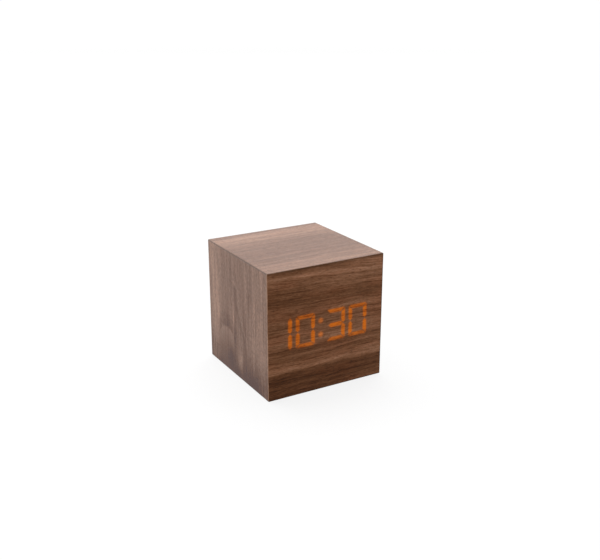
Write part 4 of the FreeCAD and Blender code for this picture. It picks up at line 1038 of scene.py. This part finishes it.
softbox("front_softbox", (-0.35, -1.1, 0.75), 0.9, 0.9, 6.5)
softbox("top_softbox", (0.2, 0.5, 1.3), 1.4, 1.0, 20)
softbox("rim_softbox", (0.9, 1.55, 0.63), 1.8, 0.8, 3)
softbox("left_softbox", (-0.85, 0.85, 0.24), 1.2, 0.46, 11.5)


def seen_or_reflected(tree):
    """1 for what is seen, in a reflection or through glass too, and 0 for light on the object."""
    rays = tree.nodes.new("ShaderNodeLightPath")
    names = ("Is Camera Ray", "Is Glossy Ray", "Is Transmission Ray")
    camera_ray, glossy_ray, transmission_ray = (Field(tree, rays.outputs[name]) for name in names)
    return camera_ray.most(glossy_ray).most(transmission_ray)


WORLD_LIGHT = 0.55

world = bpy.data.worlds.new("white studio")
bpy.context.scene.world = world
world.use_nodes = True
background = world.node_tree.nodes["Background"]
background.inputs["Color"].default_value = grey(1.0)
fill(world.node_tree, background.inputs["Strength"],
     WORLD_LIGHT + seen_or_reflected(world.node_tree) * (1 - WORLD_LIGHT))

FLOOR_REACH = 40.0
# A hair under the clock, so that its flat underside and the floor aren't in one plane.
FLOOR_Z = -0.00005
# The floor shows an eighth of the light that falls on it over a plain glow, so its shadows stay
# faint. The glow rises with the distance from the clock.
PAPER_COLOUR = grey(0.13)
PAPER_ROUGHNESS = 0.9
NEAR_GLOW = grey(0.82)
FAR_GLOW = grey(0.95)
GLOW_RISE = (500, 3000)

floor_corners = [(x * FLOOR_REACH, y * FLOOR_REACH, FLOOR_Z)
                 for x, y in ((-1, -1), (1, -1), (1, 1), (-1, 1))]
floor_mesh = bpy.data.meshes.new("floor")
floor_mesh.from_pydata(floor_corners, [], [(0, 1, 2, 3)])
floor = bpy.data.objects.new("floor", floor_mesh)
bpy.context.scene.collection.objects.link(floor)
paper = Surface("white_paper")
paper_glow = paper.mix(distance(paper.x, paper.y).rise(*GLOW_RISE), NEAR_GLOW, FAR_GLOW)
paper.finish(PAPER_COLOUR, PAPER_ROUGHNESS, emission_strength=1.0, specular_ior_level=0.0,
             emission_color=paper.mix(seen_or_reflected(paper.tree), BLACK, paper_glow))
floor_mesh.materials.append(paper.material)

# From below the floor is clear, and the studio's light reaches the underside through it.
geometry = paper.tree.nodes.new("ShaderNodeNewGeometry")
clear = paper.tree.nodes.new("ShaderNodeBsdfTransparent")
sides = paper.tree.nodes.new("ShaderNodeMixShader")
paper.tree.links.new(geometry.outputs["Backfacing"], sides.inputs[0])
paper.tree.links.new(paper.shader.outputs[0], sides.inputs[1])
paper.tree.links.new(clear.outputs[0], sides.inputs[2])
paper.tree.links.new(sides.outputs[0], paper.tree.nodes["Material Output"].inputs["Surface"])
floor.visible_diffuse = False
floor.visible_shadow = False

bpy.context.scene.view_settings.view_transform = "Standard"
